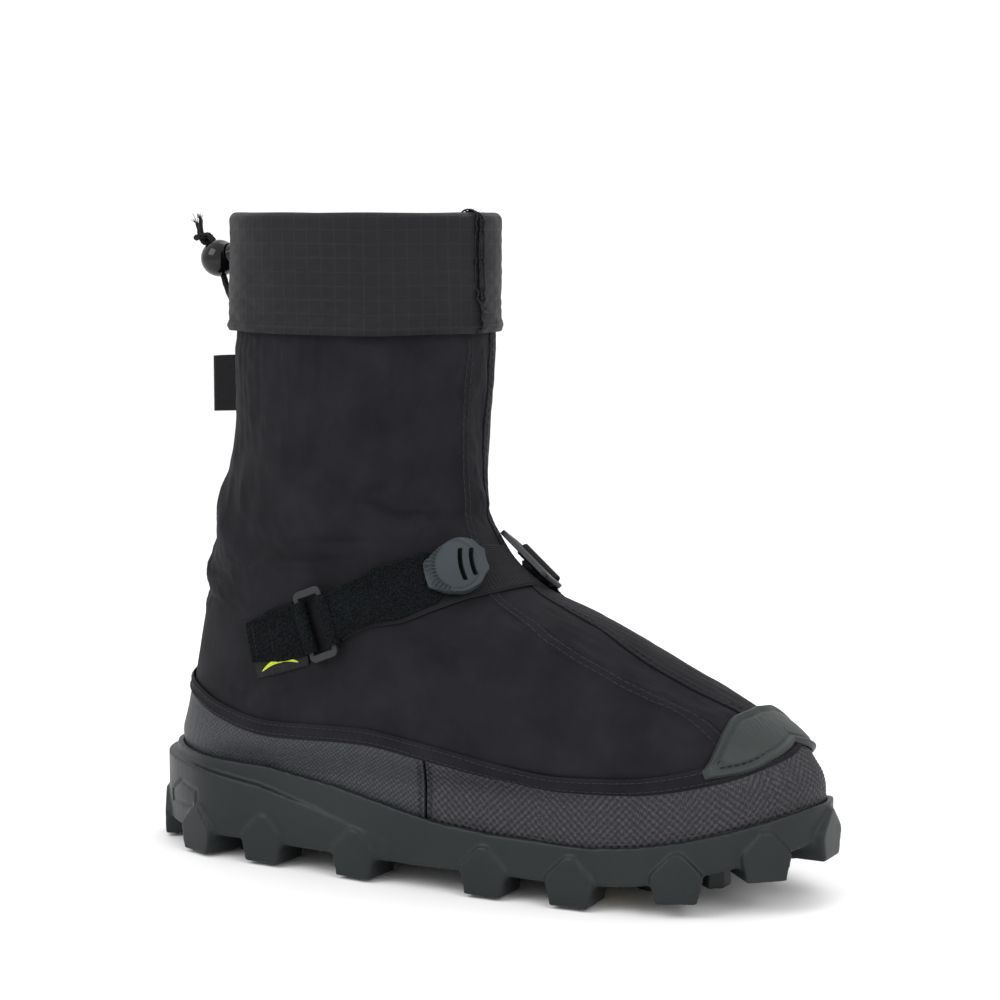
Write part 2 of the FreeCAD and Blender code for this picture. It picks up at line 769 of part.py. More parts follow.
def thumb_tab():
    """Leaf-shaped grip with two slots across."""
    tab = ribbon(tab_start(), tab_start() + TAB_LENGTH, TAB_WIDTH, tab_lift(), TAB_THICKNESS, 0.0, 14)
    for share in TAB_SLOT_SHARES:
        middle = tab_start() + TAB_LENGTH * share
        length = TAB_WIDTH(share) * 0.62
        slot = ribbon(middle - 0.9, middle + 0.9, length, tab_lift() - 2, TAB_THICKNESS + 4, 0.0, 4)
        tab = tab.cut(slot)
    return tab


def side_label():
    length, width, thickness = LABEL
    start = -BAR_PLACE - length - 3
    return ribbon(start, start + length, width, 0.3, thickness, -9.5, 6)


# Heel loop
def heel_loop():
    """Webbing folded into a flat loop that stands out from the back seam."""
    low = LOOP_Z - LOOP_HEIGHT / 2
    wall = skin(0, LOOP_Z).x
    tip = wall - LOOP_REACH
    solids = []
    for radius in (LOOP_GAP / 2 + LOOP_WEB, LOOP_GAP / 2):
        end = tip + LOOP_GAP / 2 + LOOP_WEB
        bar = Part.makeBox(LOOP_REACH + 20, 2 * radius, LOOP_HEIGHT + 2, Vector(end, -radius, low - 1))
        solids.append(bar.fuse(Part.makeCylinder(radius, LOOP_HEIGHT + 2, Vector(end, 0, low - 1))))
    ring = solids[0].cut(solids[1])
    rows = [low, LOOP_Z, low + LOOP_HEIGHT]
    trim = [Vector(tip - 1, 0, rows[0]), Vector(wall + 30, 0, rows[0]), Vector(wall + 30, 0, rows[2]),
            Vector(tip - 1, 0, rows[2])]
    ring = ring.common(prism([corner - Vector(0, 15, 0) for corner in trim], Vector(0, 30, 0)))
    places = [[(turn, z) for z in steps(low - 4, low + LOOP_HEIGHT + 4, 5)] for turn in steps(-30, 30, 9)]
    return ring.cut(layer(places, FIT, 40.0))


# Drawcord
def cord_route():
    """Points of the cord from the collar to the knot."""
    wall = grade_x(45.5)
    top = TOTAL_HEIGHT
    return [Vector(wall, 0, top - 52), Vector(wall - 7.6, 0, top - 45.6), Vector(wall - 13.4, 0, top - 35.2),
            Vector(wall - 19.2, 0, top - 12.2), Vector(wall - 23.6, 0, top - 11.2)]


def tube(points, radius):
    """Straight runs joined by tangent arcs; returns the solid and the arcs' radii."""
    edges = []
    radii = []
    start = points[0]
    for before, corner, after in zip(points, points[1:], points[2:]):
        back = before - corner
        ahead = after - corner
        reach = 0.45 * min(back.Length, ahead.Length)
        half_turn = (math.pi - back.getAngle(ahead)) / 2
        radii.append(reach / math.tan(half_turn))
        back.normalize()
        ahead.normalize()
        first = corner + back * reach
        last = corner + ahead * reach
        middle = (back + ahead).normalize()
        centre = corner + middle * (radii[-1] / math.cos(half_turn))
        edges.append(Part.LineSegment(start, first).toShape())
        edges.append(Part.Arc(first, centre - middle * radii[-1], last).toShape())
        start = last
    edges.append(Part.LineSegment(start, points[-1]).toShape())
    path = Part.Wire(edges)
    circle = Part.Wire(Part.makeCircle(radius, points[0], points[1] - points[0]))
    solid = path.makePipeShell([circle], True, True)
    print("cord length %.1f, volume over section times length %.4f, radii %s" % (
        path.Length, solid.Volume / (math.pi * radius ** 2 * path.Length), [round(r, 1) for r in radii]))
    return solid


def drawcord_tail():
    return tube(cord_route(), CORD_DIAMETER / 2)


def cord_direction():
    route = cord_route()
    return (route[3] - route[2]).normalize()


def ball_centre():
    return cord_route()[3] - cord_direction() * (BALL_RADIUS + 1.5)


def plunger_direction():
    return Vector(cord_direction().z, 0, -cord_direction().x)


def cord_hole(extra):
    reach = 2 * BALL_RADIUS
    return Part.makeCylinder(CORD_DIAMETER / 2 + CORD_FIT, 2 * reach + extra,
                             ball_centre() - cord_direction() * reach, cord_direction())


def cord_lock():
    ball = Part.makeSphere(BALL_RADIUS, ball_centre())
    well = Part.makeCylinder(PLUNGER_RADIUS + RUNNING_FIT, 2 * BALL_RADIUS,
                             ball_centre() - plunger_direction() * (CORD_DIAMETER / 2 + 4.4), plunger_direction())
    return ball.cut(well).cut(cord_hole(0))


def lock_plunger():
    """Round button with a slot that lets the cord through over its whole travel."""
    direction = plunger_direction()
    base = ball_centre() - direction * (CORD_DIAMETER / 2 + 1.2)
    top = BALL_RADIUS + PLUNGER_PROUD
    body = Part.makeCylinder(PLUNGER_RADIUS, top + CORD_DIAMETER / 2 + 1.2, base, direction)
    rim = [edge for edge in body.Edges if abs((edge.CenterOfMass - ball_centre()).dot(direction) - top) < 0.1]
    body = body.makeFillet(1.2, rim)
    half = CORD_DIAMETER / 2 + CORD_FIT
    slot = cord_hole(0)
    for shift in (0.5, 1.0):
        moved = cord_hole(0)
        moved.translate(direction * PLUNGER_TRAVEL * shift)
        slot = slot.fuse(moved)
    side = Vector(0, 1, 0) * half
    start = ball_centre() - cord_direction() * 2 * BALL_RADIUS - side
    corners = [start, start + side * 2, start + side * 2 + direction * PLUNGER_TRAVEL,
               start + direction * PLUNGER_TRAVEL]
    return body.cut(slot.fuse(prism(corners, cord_direction() * 4 * BALL_RADIUS)))


def cord_knot():
    """Overhand knot at the end of the cord, with the cut ends above it."""
    end = cord_route()[-1]
    before = cord_route()[-2]
    centre = end + (end - before).normalize() * 3.6 - Vector(0, 0, 2.4)
    knot = Part.makeSphere(4.2, centre)
    knot = knot.fuse(Part.makeTorus(3.3, 1.7, centre, Vector(1, 0, 1)))
    for side in (-1, 0, 1):
        tip = Vector(-0.5 - 0.2 * side, 0.25 * side, 1).normalize()
        knot = knot.fuse(Part.makeCylinder(1.0, 10.5, centre, tip))
    ball = Part.makeSphere(BALL_RADIUS + 0.3, ball_centre())
    return knot.cut([drawcord_tail(), ball])


NODES = {
    "outsole": outsole, "studs": studs, "midsole": midsole, "insole_board": insole_board,
    "sole_inlay": sole_inlay, "rand_front": rand_front, "rand_rear": rand_rear, "rand_binding": rand_binding,
    "toe_patch": toe_patch, "lateral_panel": lateral_panel, "front_panel": front_panel,
    "medial_panel": medial_panel, "lining": lining, "collar": collar, "collar_seam": collar_seam,
    "heel_loop": heel_loop, "side_label": side_label, "anchor_strap": anchor_strap,
    "strap_ring": strap_ring, "strap_return": strap_return, "thumb_tab": thumb_tab,
    "instep_webbing": instep_webbing, "medial_buckle": medial_buckle, "medial_anchor": medial_anchor,
    "drawcord_tail": drawcord_tail, "cord_lock": cord_lock, "lock_plunger": lock_plunger,
    "cord_knot": cord_knot,
}
CORD_NODES = ("drawcord_tail", "cord_lock", "lock_plunger", "cord_knot")


def show(name, point, shift):
    moved = point + shift
    print("%s %.3f %.3f %.3f" % (name, moved.x, moved.y, moved.z))


def print_joints(shift):
    """Axes and places that the joints use, in the finished frame."""
    foot, along, across, out = strap_frame(0.0)
    show("strap across", across, Vector())
    show("ring pivot", foot + out * BAR_LIFT - along * BAR_PLACE, shift)
    show("peel pivot", foot + out * BAR_LIFT + along * BAR_PLACE, shift)
    foot, along, across, out = strap_frame(tab_start())
    show("tab across", across, Vector())
    show("tab pivot", foot + out * (tab_lift() + TAB_THICKNESS / 2), shift)
    foot, along, across, out = strap_frame(buckle_middle())
    show("buckle across", across, Vector())
    show("buckle pivot", foot + out * BUCKLE_LIFT + along * buckle_bar(), shift)
    show("cord direction", cord_direction(), Vector())
    show("plunger direction", plunger_direction(), Vector())
    show("stud", stud_places()[0], shift)
    for point in cord_route():
        show("cord point", point, shift)


def main():
    os.makedirs("parts", exist_ok=True)
    shapes = {name: build() for name, build in NODES.items()}
    box = FreeCAD.BoundBox()
    for name, shape in shapes.items():
        if name not in CORD_NODES:
            box.add(shape.optimalBoundingBox())
    shift = Vector(-box.Center.x, -box.Center.y, -box.ZMin)
    for name, shape in shapes.items():
        shape.translate(shift)
        shape.exportStep("parts/%s.step" % name)
        print("%-16s solids %d valid %s volume %.0f" % (name, len(shape.Solids), shape.isValid(), shape.Volume))
    show("shift", shift, Vector())
    print("size %.1f %.1f %.1f" % (box.XLength, box.YLength, box.ZLength))
    print_joints(shift)


main()
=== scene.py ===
"""Looks of the winter overshoe: fabric, rubber, webbing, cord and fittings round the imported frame."""
import math

import bmesh
import bpy
import numpy as np
from mathutils import Matrix, Vector


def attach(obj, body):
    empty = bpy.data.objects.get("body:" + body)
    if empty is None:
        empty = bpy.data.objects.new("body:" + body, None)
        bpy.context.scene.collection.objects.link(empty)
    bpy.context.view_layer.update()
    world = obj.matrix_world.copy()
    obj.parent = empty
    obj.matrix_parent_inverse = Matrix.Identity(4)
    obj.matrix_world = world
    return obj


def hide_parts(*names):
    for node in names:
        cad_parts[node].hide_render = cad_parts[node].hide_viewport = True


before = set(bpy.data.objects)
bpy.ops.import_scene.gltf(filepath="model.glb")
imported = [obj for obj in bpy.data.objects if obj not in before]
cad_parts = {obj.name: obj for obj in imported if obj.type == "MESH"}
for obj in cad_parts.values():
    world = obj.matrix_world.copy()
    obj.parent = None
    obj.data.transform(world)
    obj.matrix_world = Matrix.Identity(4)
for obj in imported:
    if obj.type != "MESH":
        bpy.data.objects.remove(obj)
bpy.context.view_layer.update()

MM = 0.001
TO_FRAME = np.array((-168.845, -2.154, 0.0))    # from heel coordinates, in mm, to the frame's origin


# Camera, first of all
def link(name, data):
    piece = bpy.data.objects.new(name, data)
    bpy.context.scene.collection.objects.link(piece)
    return piece


def aim(piece, place, target):
    piece.location = place
    piece.rotation_mode = "QUATERNION"
    piece.rotation_quaternion = (Vector(target) - Vector(place)).to_track_quat("-Z", "Y")


def look_from(location, target, lens):
    data = bpy.data.cameras.new("camera")
    data.lens = lens
    data.sensor_width = 36.0
    data.clip_end = 20.0
    camera = link("camera", data)
    aim(camera, location, target)
    bpy.context.scene.camera = camera


look_from((0.5511, -1.0176, 0.300), (0.0112, -0.0022, 0.170), 91.98)


# Lines and vectors
def unit(vectors):
    return vectors / np.linalg.norm(vectors, axis=-1, keepdims=True)


def run_lengths(points):
    """Distance along a line to each of its points."""
    return np.concatenate(([0], np.cumsum(np.linalg.norm(np.diff(points, axis=0), axis=1))))


def read_line(at, length, values):
    """Reads vectors, which are given at some lengths along a line, at other lengths."""
    return np.stack([np.interp(at, length, values[:, k]) for k in range(3)], -1)


# Curves through given points, the same as the CAD uses
def monotone(xs, ys, at):
    """Monotone cubic through (xs, ys) read at an array; ys may hold one column for each reading."""
    at = np.clip(at, xs[0], xs[-1])
    if ys.ndim == 1:
        ys = ys[:, None]
    steps = np.diff(xs)[:, None]
    rises = np.diff(ys, axis=0) / steps
    slopes = np.zeros_like(ys)
    slopes[0] = rises[0]
    slopes[-1] = rises[-1]
    before = 2 * steps[1:] + steps[:-1]
    after = steps[1:] + 2 * steps[:-1]
    same = rises[:-1] * rises[1:] > 0
    safe = np.where(same, rises[:-1], 1.0), np.where(same, rises[1:], 1.0)
    slopes[1:-1] = np.where(same, (before + after) / (before / safe[0] + after / safe[1]), 0.0)
    i = np.clip(np.searchsorted(xs, at, side="right") - 1, 0, len(xs) - 2)
    column = np.arange(at.size) if ys.shape[1] > 1 else 0
    step = steps[i, 0]
    t = (at - xs[i]) / step
    start = (1 + 2 * t) * (1 - t) ** 2 * ys[i, column] + t * (1 - t) ** 2 * step * slopes[i, column]
    end = t * t * (3 - 2 * t) * ys[i + 1, column] + t * t * (t - 1) * step * slopes[i + 1, column]
    return start + end


def curve(points):
    xs, ys = np.array(points, float).T

    def value(at):
        at = np.asarray(at, float)
        return monotone(xs, ys, at.ravel()).reshape(at.shape)

    return value


def ease(value):
    value = np.clip(value, 0.0, 1.0)
    return value * value * (3 - 2 * value)


# Surface of the upper. A turn goes from 0 at the back, by the outer side at 90, to 180 at the toe.
BACK_LINE = curve([(20, 8), (45, 11), (60, 15.5), (90, 22.5), (107, 26), (136, 32.5), (165, 38),
                   (205, 48.5), (245, 48.5), (300, 47.5)])
FRONT_LINE = curve([(20, 331), (50, 331), (66, 325), (82, 306), (99, 276), (117.5, 238), (130, 203),
                    (146, 181.5), (166, 170.5), (200, 169), (245, 171.5), (300, 172)])
SHARES = np.array((0, 0.14, 0.4, 0.7, 0.88, 1.0))
HALF_WIDTHS = {62: (74, 63, 52, 56, 60, 56), 85: (72, 61, 49, 51, 53, 50), 105: (68, 58, 47, 46, 45, 41),
               130: (60, 54, 46.5, 43, 41, 39), 150: (56, 53, 49, 46, 45, 44),
               175: (54, 53, 51, 50, 49, 48), 205: (54, 54, 53, 53, 52, 52), 300: (56, 56, 56, 56, 55, 55)}
WIDTH_LINES = [curve([(z, row[i]) for z, row in HALF_WIDTHS.items()]) for i in range(len(SHARES))]
TREAD_SHARES = (0, 0.1, 0.25, 0.4, 0.55, 0.7, 0.85, 1)
TREAD_LATERAL = curve(list(zip(TREAD_SHARES, (68, 70, 57, 53.5, 54, 61, 71, 66))))
TREAD_MEDIAL = curve(list(zip(TREAD_SHARES, (68, 68, 52, 46, 48, 58, 70, 72))))
TREAD_SWING = 12.0          # the toe lies this far to the inner side of the heel
UPPER_CAMBER = curve([(0, 0), (90, -2), (190, -3), (255, 0), (336, 12)])
BAND_INSET = curve([(0, 4.5), (0.15, 4.0), (0.45, 0.5), (1, 0.5)])
RAND_LINE = curve([(0, 80), (29.5, 74), (41.5, 69), (57.5, 64.5), (77.5, 66), (91, 62.5), (104, 57.5),
                   (114.5, 54.5), (125, 55), (145, 60.5), (161, 66.5), (180, 72)])
PATCH_TOP = curve([(0, 84), (12, 82.5), (21, 77.5), (28, 70.5), (33, 62.5)])
PATCH_BOTTOM = curve([(0, 70.5), (14, 65.5), (23, 61.5), (33, 59.5)])
PATCH_MIDDLE = 175.0
PATCH_HALF = 33.0
NEAR_SEAM = curve([(60, 152), (81, 154), (95, 147.5), (113, 142), (128, 149), (142, 160), (156, 168),
                   (172, 171), (292, 172)])
FAR_SEAM = curve([(60, 170), (84, 168), (95, 163), (105, 161), (120, 167), (135, 176), (156, 186),
                  (292, 188)])
SOLE_LENGTH = 333.5
HEEL_X = 2.5
SKIN_INSET = 4.0
TOTAL_HEIGHT = 300.0


def share_of(turn):
    return (1 - np.cos(np.radians(turn))) / 2


def tread_point(turn):
    """Edge of the tread, seen from above."""
    share = share_of(turn)
    side = np.sin(np.radians(turn))
    half = np.where(side >= 0, TREAD_LATERAL(share), TREAD_MEDIAL(share))
    swing = TREAD_SWING * np.maximum(share - 0.53, 0) / 0.47
    return np.stack((HEEL_X + SOLE_LENGTH * share, swing - half * side, np.zeros_like(share)), -1)


def outline(turn, inset, z):
    """Points at a height, inside the tread's edge by an inset."""
    along = tread_point(turn + 0.5) - tread_point(turn - 0.5)
    out = unit(np.stack((along[..., 1], -along[..., 0], 0 * along[..., 0]), -1))
    point = tread_point(turn) - out * inset[..., None]
    point[..., 2] = z
    return point


def skin(turn, z):
    """Points of the upper's outer surface, in heel coordinates."""
    turn, z = np.broadcast_arrays(np.asarray(turn, float), np.asarray(z, float))
    share = share_of(turn)
    back = BACK_LINE(z)
    widths = np.array([line(z).ravel() for line in WIDTH_LINES])
    half = monotone(SHARES, widths, share.ravel()).reshape(share.shape)
    x = back + (FRONT_LINE(z) - back) * share
    y = UPPER_CAMBER(x) * ease((150 - z) / 60) - half * np.sin(np.radians(turn))
    mix = ease((z - 45.0) / 17.0)[..., None]
    low = outline(turn, BAND_INSET(share) + SKIN_INSET, z)
    return low * (1 - mix) + np.stack((x, y, z), -1) * mix


def skin_out(turn, z):
    across = skin(turn + 1, z) - skin(turn - 1, z)
    up = skin(turn, z + 1) - skin(turn, z - 1)
    return unit(np.cross(across, up))


def rand_top(turn):
    """Height of the rand's top edge, the same on both sides."""
    turn = np.mod(turn, 360)
    return RAND_LINE(np.minimum(turn, 360 - turn))


# Instep strap: distances run along it from the middle of the plastic loop
STRAP_PATH = ((51.5, 102), (64, 108), (78, 115), (89, 121.5), (100, 127.2), (112, 132), (123.5, 136),
              (147, 141), (166, 142), (185, 141), (205, 136), (225, 126), (245, 114), (265, 105), (285, 98))
STRAP_TURN = curve([(i, turn) for i, (turn, z) in enumerate(STRAP_PATH)])
STRAP_Z = curve([(i, z) for i, (turn, z) in enumerate(STRAP_PATH)])
LOOP_STATION = 2.0


def strap_stations():
    """Station on the strap's path for each distance from the loop."""
    station = np.arange(0, len(STRAP_PATH) - 1 + 1e-6, 0.02)
    points = skin(STRAP_TURN(station), STRAP_Z(station))
    distance = run_lengths(points)
    distance -= np.interp(LOOP_STATION, station, distance)
    return curve(list(zip(distance[::10], station[::10])))


STATIONS = strap_stations()


def strap_place(distance):
    station = STATIONS(distance)
    return STRAP_TURN(station), STRAP_Z(station)


def strap_frame(distance):
    """Foot on the upper, then the directions along, across (up) and out."""
    distance = np.asarray(distance, float)
    turn, z = strap_place(distance)
    out = skin_out(turn, z)
    along = skin(*strap_place(distance + 6.0)) - skin(*strap_place(distance - 6.0))
    along = unit(along - out * (along * out).sum(-1, keepdims=True))
    return skin(turn, z), along, np.cross(out, along), out


def across_strap(distance, side):
    """Turn and height of the points that lie side millimetres across the strap."""
    turn, z = strap_place(distance)
    across = strap_frame(distance)[2]
    by_turn = skin(turn + 0.5, z) - skin(turn - 0.5, z)
    by_z = skin(turn, z + 0.5) - skin(turn, z - 0.5)
    a, b, c = (by_turn * by_turn).sum(-1), (by_turn * by_z).sum(-1), (by_z * by_z).sum(-1)
    p, q = (by_turn * across).sum(-1), (by_z * across).sum(-1)
    scale = a * c - b * b
    return turn + side * (p * c - q * b) / scale, z + side * (a * q - b * p) / scale


# Meshes from grids of points
def framed(points):
    """Heel coordinates in millimetres to the frame in metres."""
    return (np.asarray(points) + TO_FRAME) * MM


def grid_lengths(grid):
    """Length along each direction of a grid, for the weave of the cloth."""
    along = np.linalg.norm(np.diff(grid, axis=0), axis=-1)
    up = np.linalg.norm(np.diff(grid, axis=1), axis=-1)
    u = np.concatenate((np.zeros((1, grid.shape[1])), np.cumsum(along, axis=0)))
    v = np.concatenate((np.zeros((grid.shape[0], 1)), np.cumsum(up, axis=1)), axis=1)
    return np.broadcast_to(u.mean(1, keepdims=True), u.shape), v


def grid_faces(rows, columns, ring, offset=0):
    index = np.arange(rows * columns).reshape(rows, columns) + offset
    if ring:
        index = np.vstack((index, index[:1]))
    return np.stack((index[:-1, :-1], index[1:, :-1], index[1:, 1:], index[:-1, 1:]), -1).reshape(-1, 4)


def rim_faces(rows, columns, ring):
    """Quads that close the edges between the outer and the inner grid."""
    index = np.arange(rows * columns).reshape(rows, columns)
    under = index + rows * columns
    edges = [(index[:, -1], under[:, -1]), (index[::-1, 0], under[::-1, 0])]
    if ring:
        edges = [(np.append(a, a[0]), np.append(b, b[0])) for a, b in edges]
    else:
        edges += [(index[0], under[0]), (index[-1, ::-1], under[-1, ::-1])]
    quads = [np.stack((b[:-1], b[1:], a[1:], a[:-1]), -1) for a, b in edges]
    return np.vstack(quads)


def mesh_of(name, points, faces, lie=None, sharp=0.9):
    mesh = bpy.data.meshes.new(name)
    mesh.from_pydata(points.tolist(), [], faces.tolist() if hasattr(faces, "tolist") else faces)
    mesh.polygons.foreach_set("use_smooth", [True] * len(mesh.polygons))
    mesh.set_sharp_from_angle(angle=sharp)
    if lie is not None:
        attribute = mesh.attributes.new("lie", "FLOAT_VECTOR", "POINT")
        attribute.data.foreach_set("vector", np.ascontiguousarray(lie, np.float32).ravel())
    return mesh


def shell(name, outer, inner, ring=False):
    """Closed sheet between two grids of points, in heel coordinates."""
    rows, columns = outer.shape[:2]
    points = framed(np.concatenate((outer.reshape(-1, 3), inner.reshape(-1, 3))))
    faces = grid_faces(rows, columns, ring)
    under = grid_faces(rows, columns, ring, rows * columns)[:, ::-1]
    faces = np.vstack((faces, under, rim_faces(rows, columns, ring)))
    u, v = grid_lengths(outer)
    lie = np.stack((u.ravel(), v.ravel(), np.zeros(u.size)), -1) * MM
    return link(name, mesh_of(name, points, faces, np.concatenate((lie, lie))))


def grid_of(turns, heights):
    """Turn and height grids; heights may depend on the turn."""
    turns = np.asarray(turns, float)
    low, high, count = heights
    share = np.linspace(0, 1, count)[None, :]
    low = low(turns)[:, None] if callable(low) else low
    high = high(turns)[:, None] if callable(high) else high
    z = low + (high - low) * share + 0 * turns[:, None]
    return np.broadcast_to(turns[:, None], z.shape), z


def wobble(a, b, seed, size):
    """Smooth pattern without repeats, about -1 to 1, from a few waves."""
    draw = np.random.default_rng(seed)
    total = np.zeros(np.broadcast(a, b).shape)
    for _ in range(7):
        heading = draw.uniform(0, 2 * math.pi)
        pace = 2 * math.pi / (size * draw.uniform(0.6, 1.8))
        run = a * math.cos(heading) + b * math.sin(heading)
        total = total + np.sin(pace * run + draw.uniform(0, 6.28))
    return total / 4


# Node materials
SETTINGS = ("operation", "data_type", "attribute_name")


class Paint:
    """Builds the nodes of one material. Sizes of noise are per metre, and heights and periods in metres."""

    def __init__(self, name, colour, roughness, **sockets):
        self.material = bpy.data.materials.new(name)
        self.material.use_nodes = True
        self.tree = self.material.node_tree
        self.shader = self.tree.nodes["Principled BSDF"]
        self.shader.inputs["Base Color"].default_value = (*colour, 1)
        self.shader.inputs["Roughness"].default_value = roughness
        for socket, value in sockets.items():
            self.shader.inputs[socket.replace("_", " ")].default_value = value
        self.height = None

    def node(self, kind, **inputs):
        """Adds a node; an input goes by its name, or as i and its number."""
        node = self.tree.nodes.new("ShaderNode" + kind)
        for key, value in inputs.items():
            if key in SETTINGS:
                setattr(node, key, value)
                continue
            socket = node.inputs[int(key[1:])] if key[0] == "i" and key[1:].isdigit() else node.inputs[key]
            if isinstance(value, bpy.types.NodeSocket):
                self.tree.links.new(value, socket)
            else:
                socket.default_value = value
        return node

    def place(self):
        return self.node("TexCoord").outputs["Object"]

    def lie(self):
        return self.node("Attribute", attribute_name="lie").outputs["Vector"]

    def math(self, operation, a, b=0.0):
        return self.node("Math", operation=operation, i0=a, i1=b).outputs[0]

    def noise(self, scale, detail=3.0):
        return self.node("TexNoise", Vector=self.place(), Scale=scale, Detail=detail, Roughness=0.55).outputs[0]

    def cells(self, scale):
        return self.node("TexVoronoi", Vector=self.place(), Scale=scale).outputs["Distance"]

    def spread(self, value, low, high):
        """Stretches a value so that low gives 0 and high gives 1."""
        return self.node("MapRange", Value=value, i1=low, i2=high, i3=0.0, i4=1.0).outputs[0]

    def colour(self, factor, first, second):
        mix = self.node("Mix", data_type="RGBA", Factor=factor, i6=(*first, 1), i7=(*second, 1))
        self.tree.links.new(mix.outputs[2], self.shader.inputs["Base Color"])

    def rough(self, factor, low, high):
        value = self.node("MapRange", Value=factor, i1=0.0, i2=1.0, i3=low, i4=high).outputs[0]
        self.tree.links.new(value, self.shader.inputs["Roughness"])

    def bump(self, height, distance, strength=1.0):
        inputs = {"Height": height, "Distance": distance, "Strength": strength}
        if self.height is not None:
            inputs["Normal"] = self.height
        self.height = self.node("Bump", **inputs).outputs[0]
        self.tree.links.new(self.height, self.shader.inputs["Normal"])

    def threads(self, vector, period):
        """Over and under of a plain weave, from -1 to 1."""
        parts = self.node("SeparateXYZ", i0=vector)
        turns = [self.math("MULTIPLY", parts.outputs[k], 2 * math.pi / period) for k in (0, 1)]
        return self.math("MULTIPLY", self.math("SINE", turns[0]), self.math("SINE", turns[1]))

    def lines(self, vector, axis, period, power=12.0):
        """Thin raised lines across one direction."""
        parts = self.node("SeparateXYZ", i0=vector)
        wave = self.math("SINE", self.math("MULTIPLY", parts.outputs[axis], math.pi / period))
        return self.math("POWER", self.math("ABSOLUTE", wave), power)


def nylon_paint():
    paint = Paint("nylon", (0.008, 0.0078, 0.0105), 0.72, Specular_IOR_Level=0.12)
    tone = paint.spread(paint.noise(45.0, 5.0), 0.35, 0.7)
    paint.colour(tone, (0.0058, 0.0057, 0.0078), (0.0105, 0.0102, 0.0132))
    paint.rough(paint.noise(70.0), 0.62, 0.85)
    paint.bump(paint.threads(paint.lie(), 0.00055), 0.00006, 0.5)
    paint.bump(paint.noise(420.0, 3.0), 0.0001, 0.35)
    return paint.material


def scaled(colour, factor):
    return tuple(factor * c for c in colour)


def ripstop_paint(name, colour):
    paint = Paint(name, colour, 0.55, Specular_IOR_Level=0.16)
    lie = paint.lie()
    grid = paint.math("MAXIMUM", paint.lines(lie, 0, 0.0062, 60.0), paint.lines(lie, 1, 0.0062, 60.0))
    paint.colour(grid, scaled(colour, 0.9), scaled(colour, 1.35))
    paint.rough(paint.noise(60.0), 0.45, 0.68)
    paint.bump(paint.threads(lie, 0.0006), 0.00006, 0.5)
    paint.bump(grid, 0.00018, 0.8)
    paint.bump(paint.noise(260.0, 3.0), 0.00012, 0.3)
    return paint.material


def rand_paint(name, dark, light, low, high, period):
    paint = Paint(name, light, 0.5, Specular_IOR_Level=0.3)
    weave = paint.spread(paint.threads(paint.lie(), period), -0.6, 0.6)
    # Colour: tone that differs from thread to thread, with painted glints as lighter spots from voronoi cells on
    # the weave's raised threads
    thread_tone_and_glint = paint.math("MULTIPLY", paint.spread(paint.cells(900.0), 0.0, 0.75), weave)
    paint.colour(thread_tone_and_glint, dark, light)
    paint.rough(paint.noise(500.0, 2.0), low, high)
    paint.bump(paint.noise(1200.0, 2.0), 0.00008, 0.5)
    return paint.material


def rubber_paint(name, dark, light, low, high):
    paint = Paint(name, light, 0.5, Specular_IOR_Level=0.24)
    paint.colour(paint.spread(paint.noise(28.0, 6.0), 0.3, 0.75), dark, light)
    paint.rough(paint.noise(55.0, 5.0), low, high)
    paint.bump(paint.noise(900.0, 4.0), 0.00005, 0.5)
    paint.bump(paint.noise(60.0, 3.0), 0.0003, 0.12)
    return paint.material


def pile_paint():
    paint = Paint("pile", (0.0055, 0.0052, 0.0058), 0.95, Specular_IOR_Level=0.06)
    tone = paint.spread(paint.noise(1500.0, 2.0), 0.4, 0.72)
    paint.colour(tone, (0.0022, 0.0026, 0.0031), (0.012, 0.0145, 0.0165))
    paint.bump(paint.noise(1300.0, 2.0), 0.0004, 0.9)
    return paint.material


def webbing_paint():
    paint = Paint("webbing", (0.012, 0.012, 0.013), 0.7, Specular_IOR_Level=0.12)
    lie = paint.lie()
    paint.colour(paint.lines(lie, 1, 0.0011, 2.0), (0.0045, 0.0045, 0.0052), (0.014, 0.014, 0.016))
    paint.bump(paint.threads(lie, 0.0011), 0.00015, 0.7)
    return paint.material


def thread_paint(name, colour):
    paint = Paint(name, colour, 0.6, Specular_IOR_Level=0.15)
    paint.colour(paint.noise(2500.0, 1.0), scaled(colour, 0.5), scaled(colour, 1.6))
    paint.bump(paint.noise(3000.0, 1.0), 0.00005, 0.6)
    return paint.material


def plastic_paint(name, dark, light, low, high, grain=0.00003):
    paint = Paint(name, light, 0.45, Specular_IOR_Level=0.3)
    paint.colour(paint.noise(80.0, 4.0), dark, light)
    paint.rough(paint.noise(160.0, 4.0), low, high)
    paint.bump(paint.noise(1500.0, 3.0), grain, 0.5)
    return paint.material


def gloss_paint():
    paint = Paint("gloss", (0.0025, 0.0025, 0.003), 0.08, Specular_IOR_Level=0.32)
    paint.rough(paint.noise(90.0, 5.0), 0.05, 0.14)
    return paint.material


def steel_paint():
    paint = Paint("steel", (0.62, 0.63, 0.65), 0.3, Metallic=1.0)
    paint.colour(paint.noise(700.0, 4.0), (0.45, 0.46, 0.48), (0.72, 0.73, 0.75))
    paint.rough(paint.noise(900.0, 3.0), 0.2, 0.42)
    return paint.material


def inlay_paint():
    paint = Paint("inlay", (0.75, 0.52, 0.02), 0.55)
    paint.colour(paint.noise(300.0, 4.0), (0.6, 0.4, 0.015), (0.8, 0.58, 0.03))
    paint.bump(paint.noise(900.0, 3.0), 0.00005, 0.5)
    return paint.material


def floor_paint():
    paint = Paint("floor", (0.9, 0.9, 0.9), 0.9)
    paint.colour(paint.noise(3.0, 2.0), (0.88, 0.88, 0.88), (0.92, 0.92, 0.92))
    return paint.material


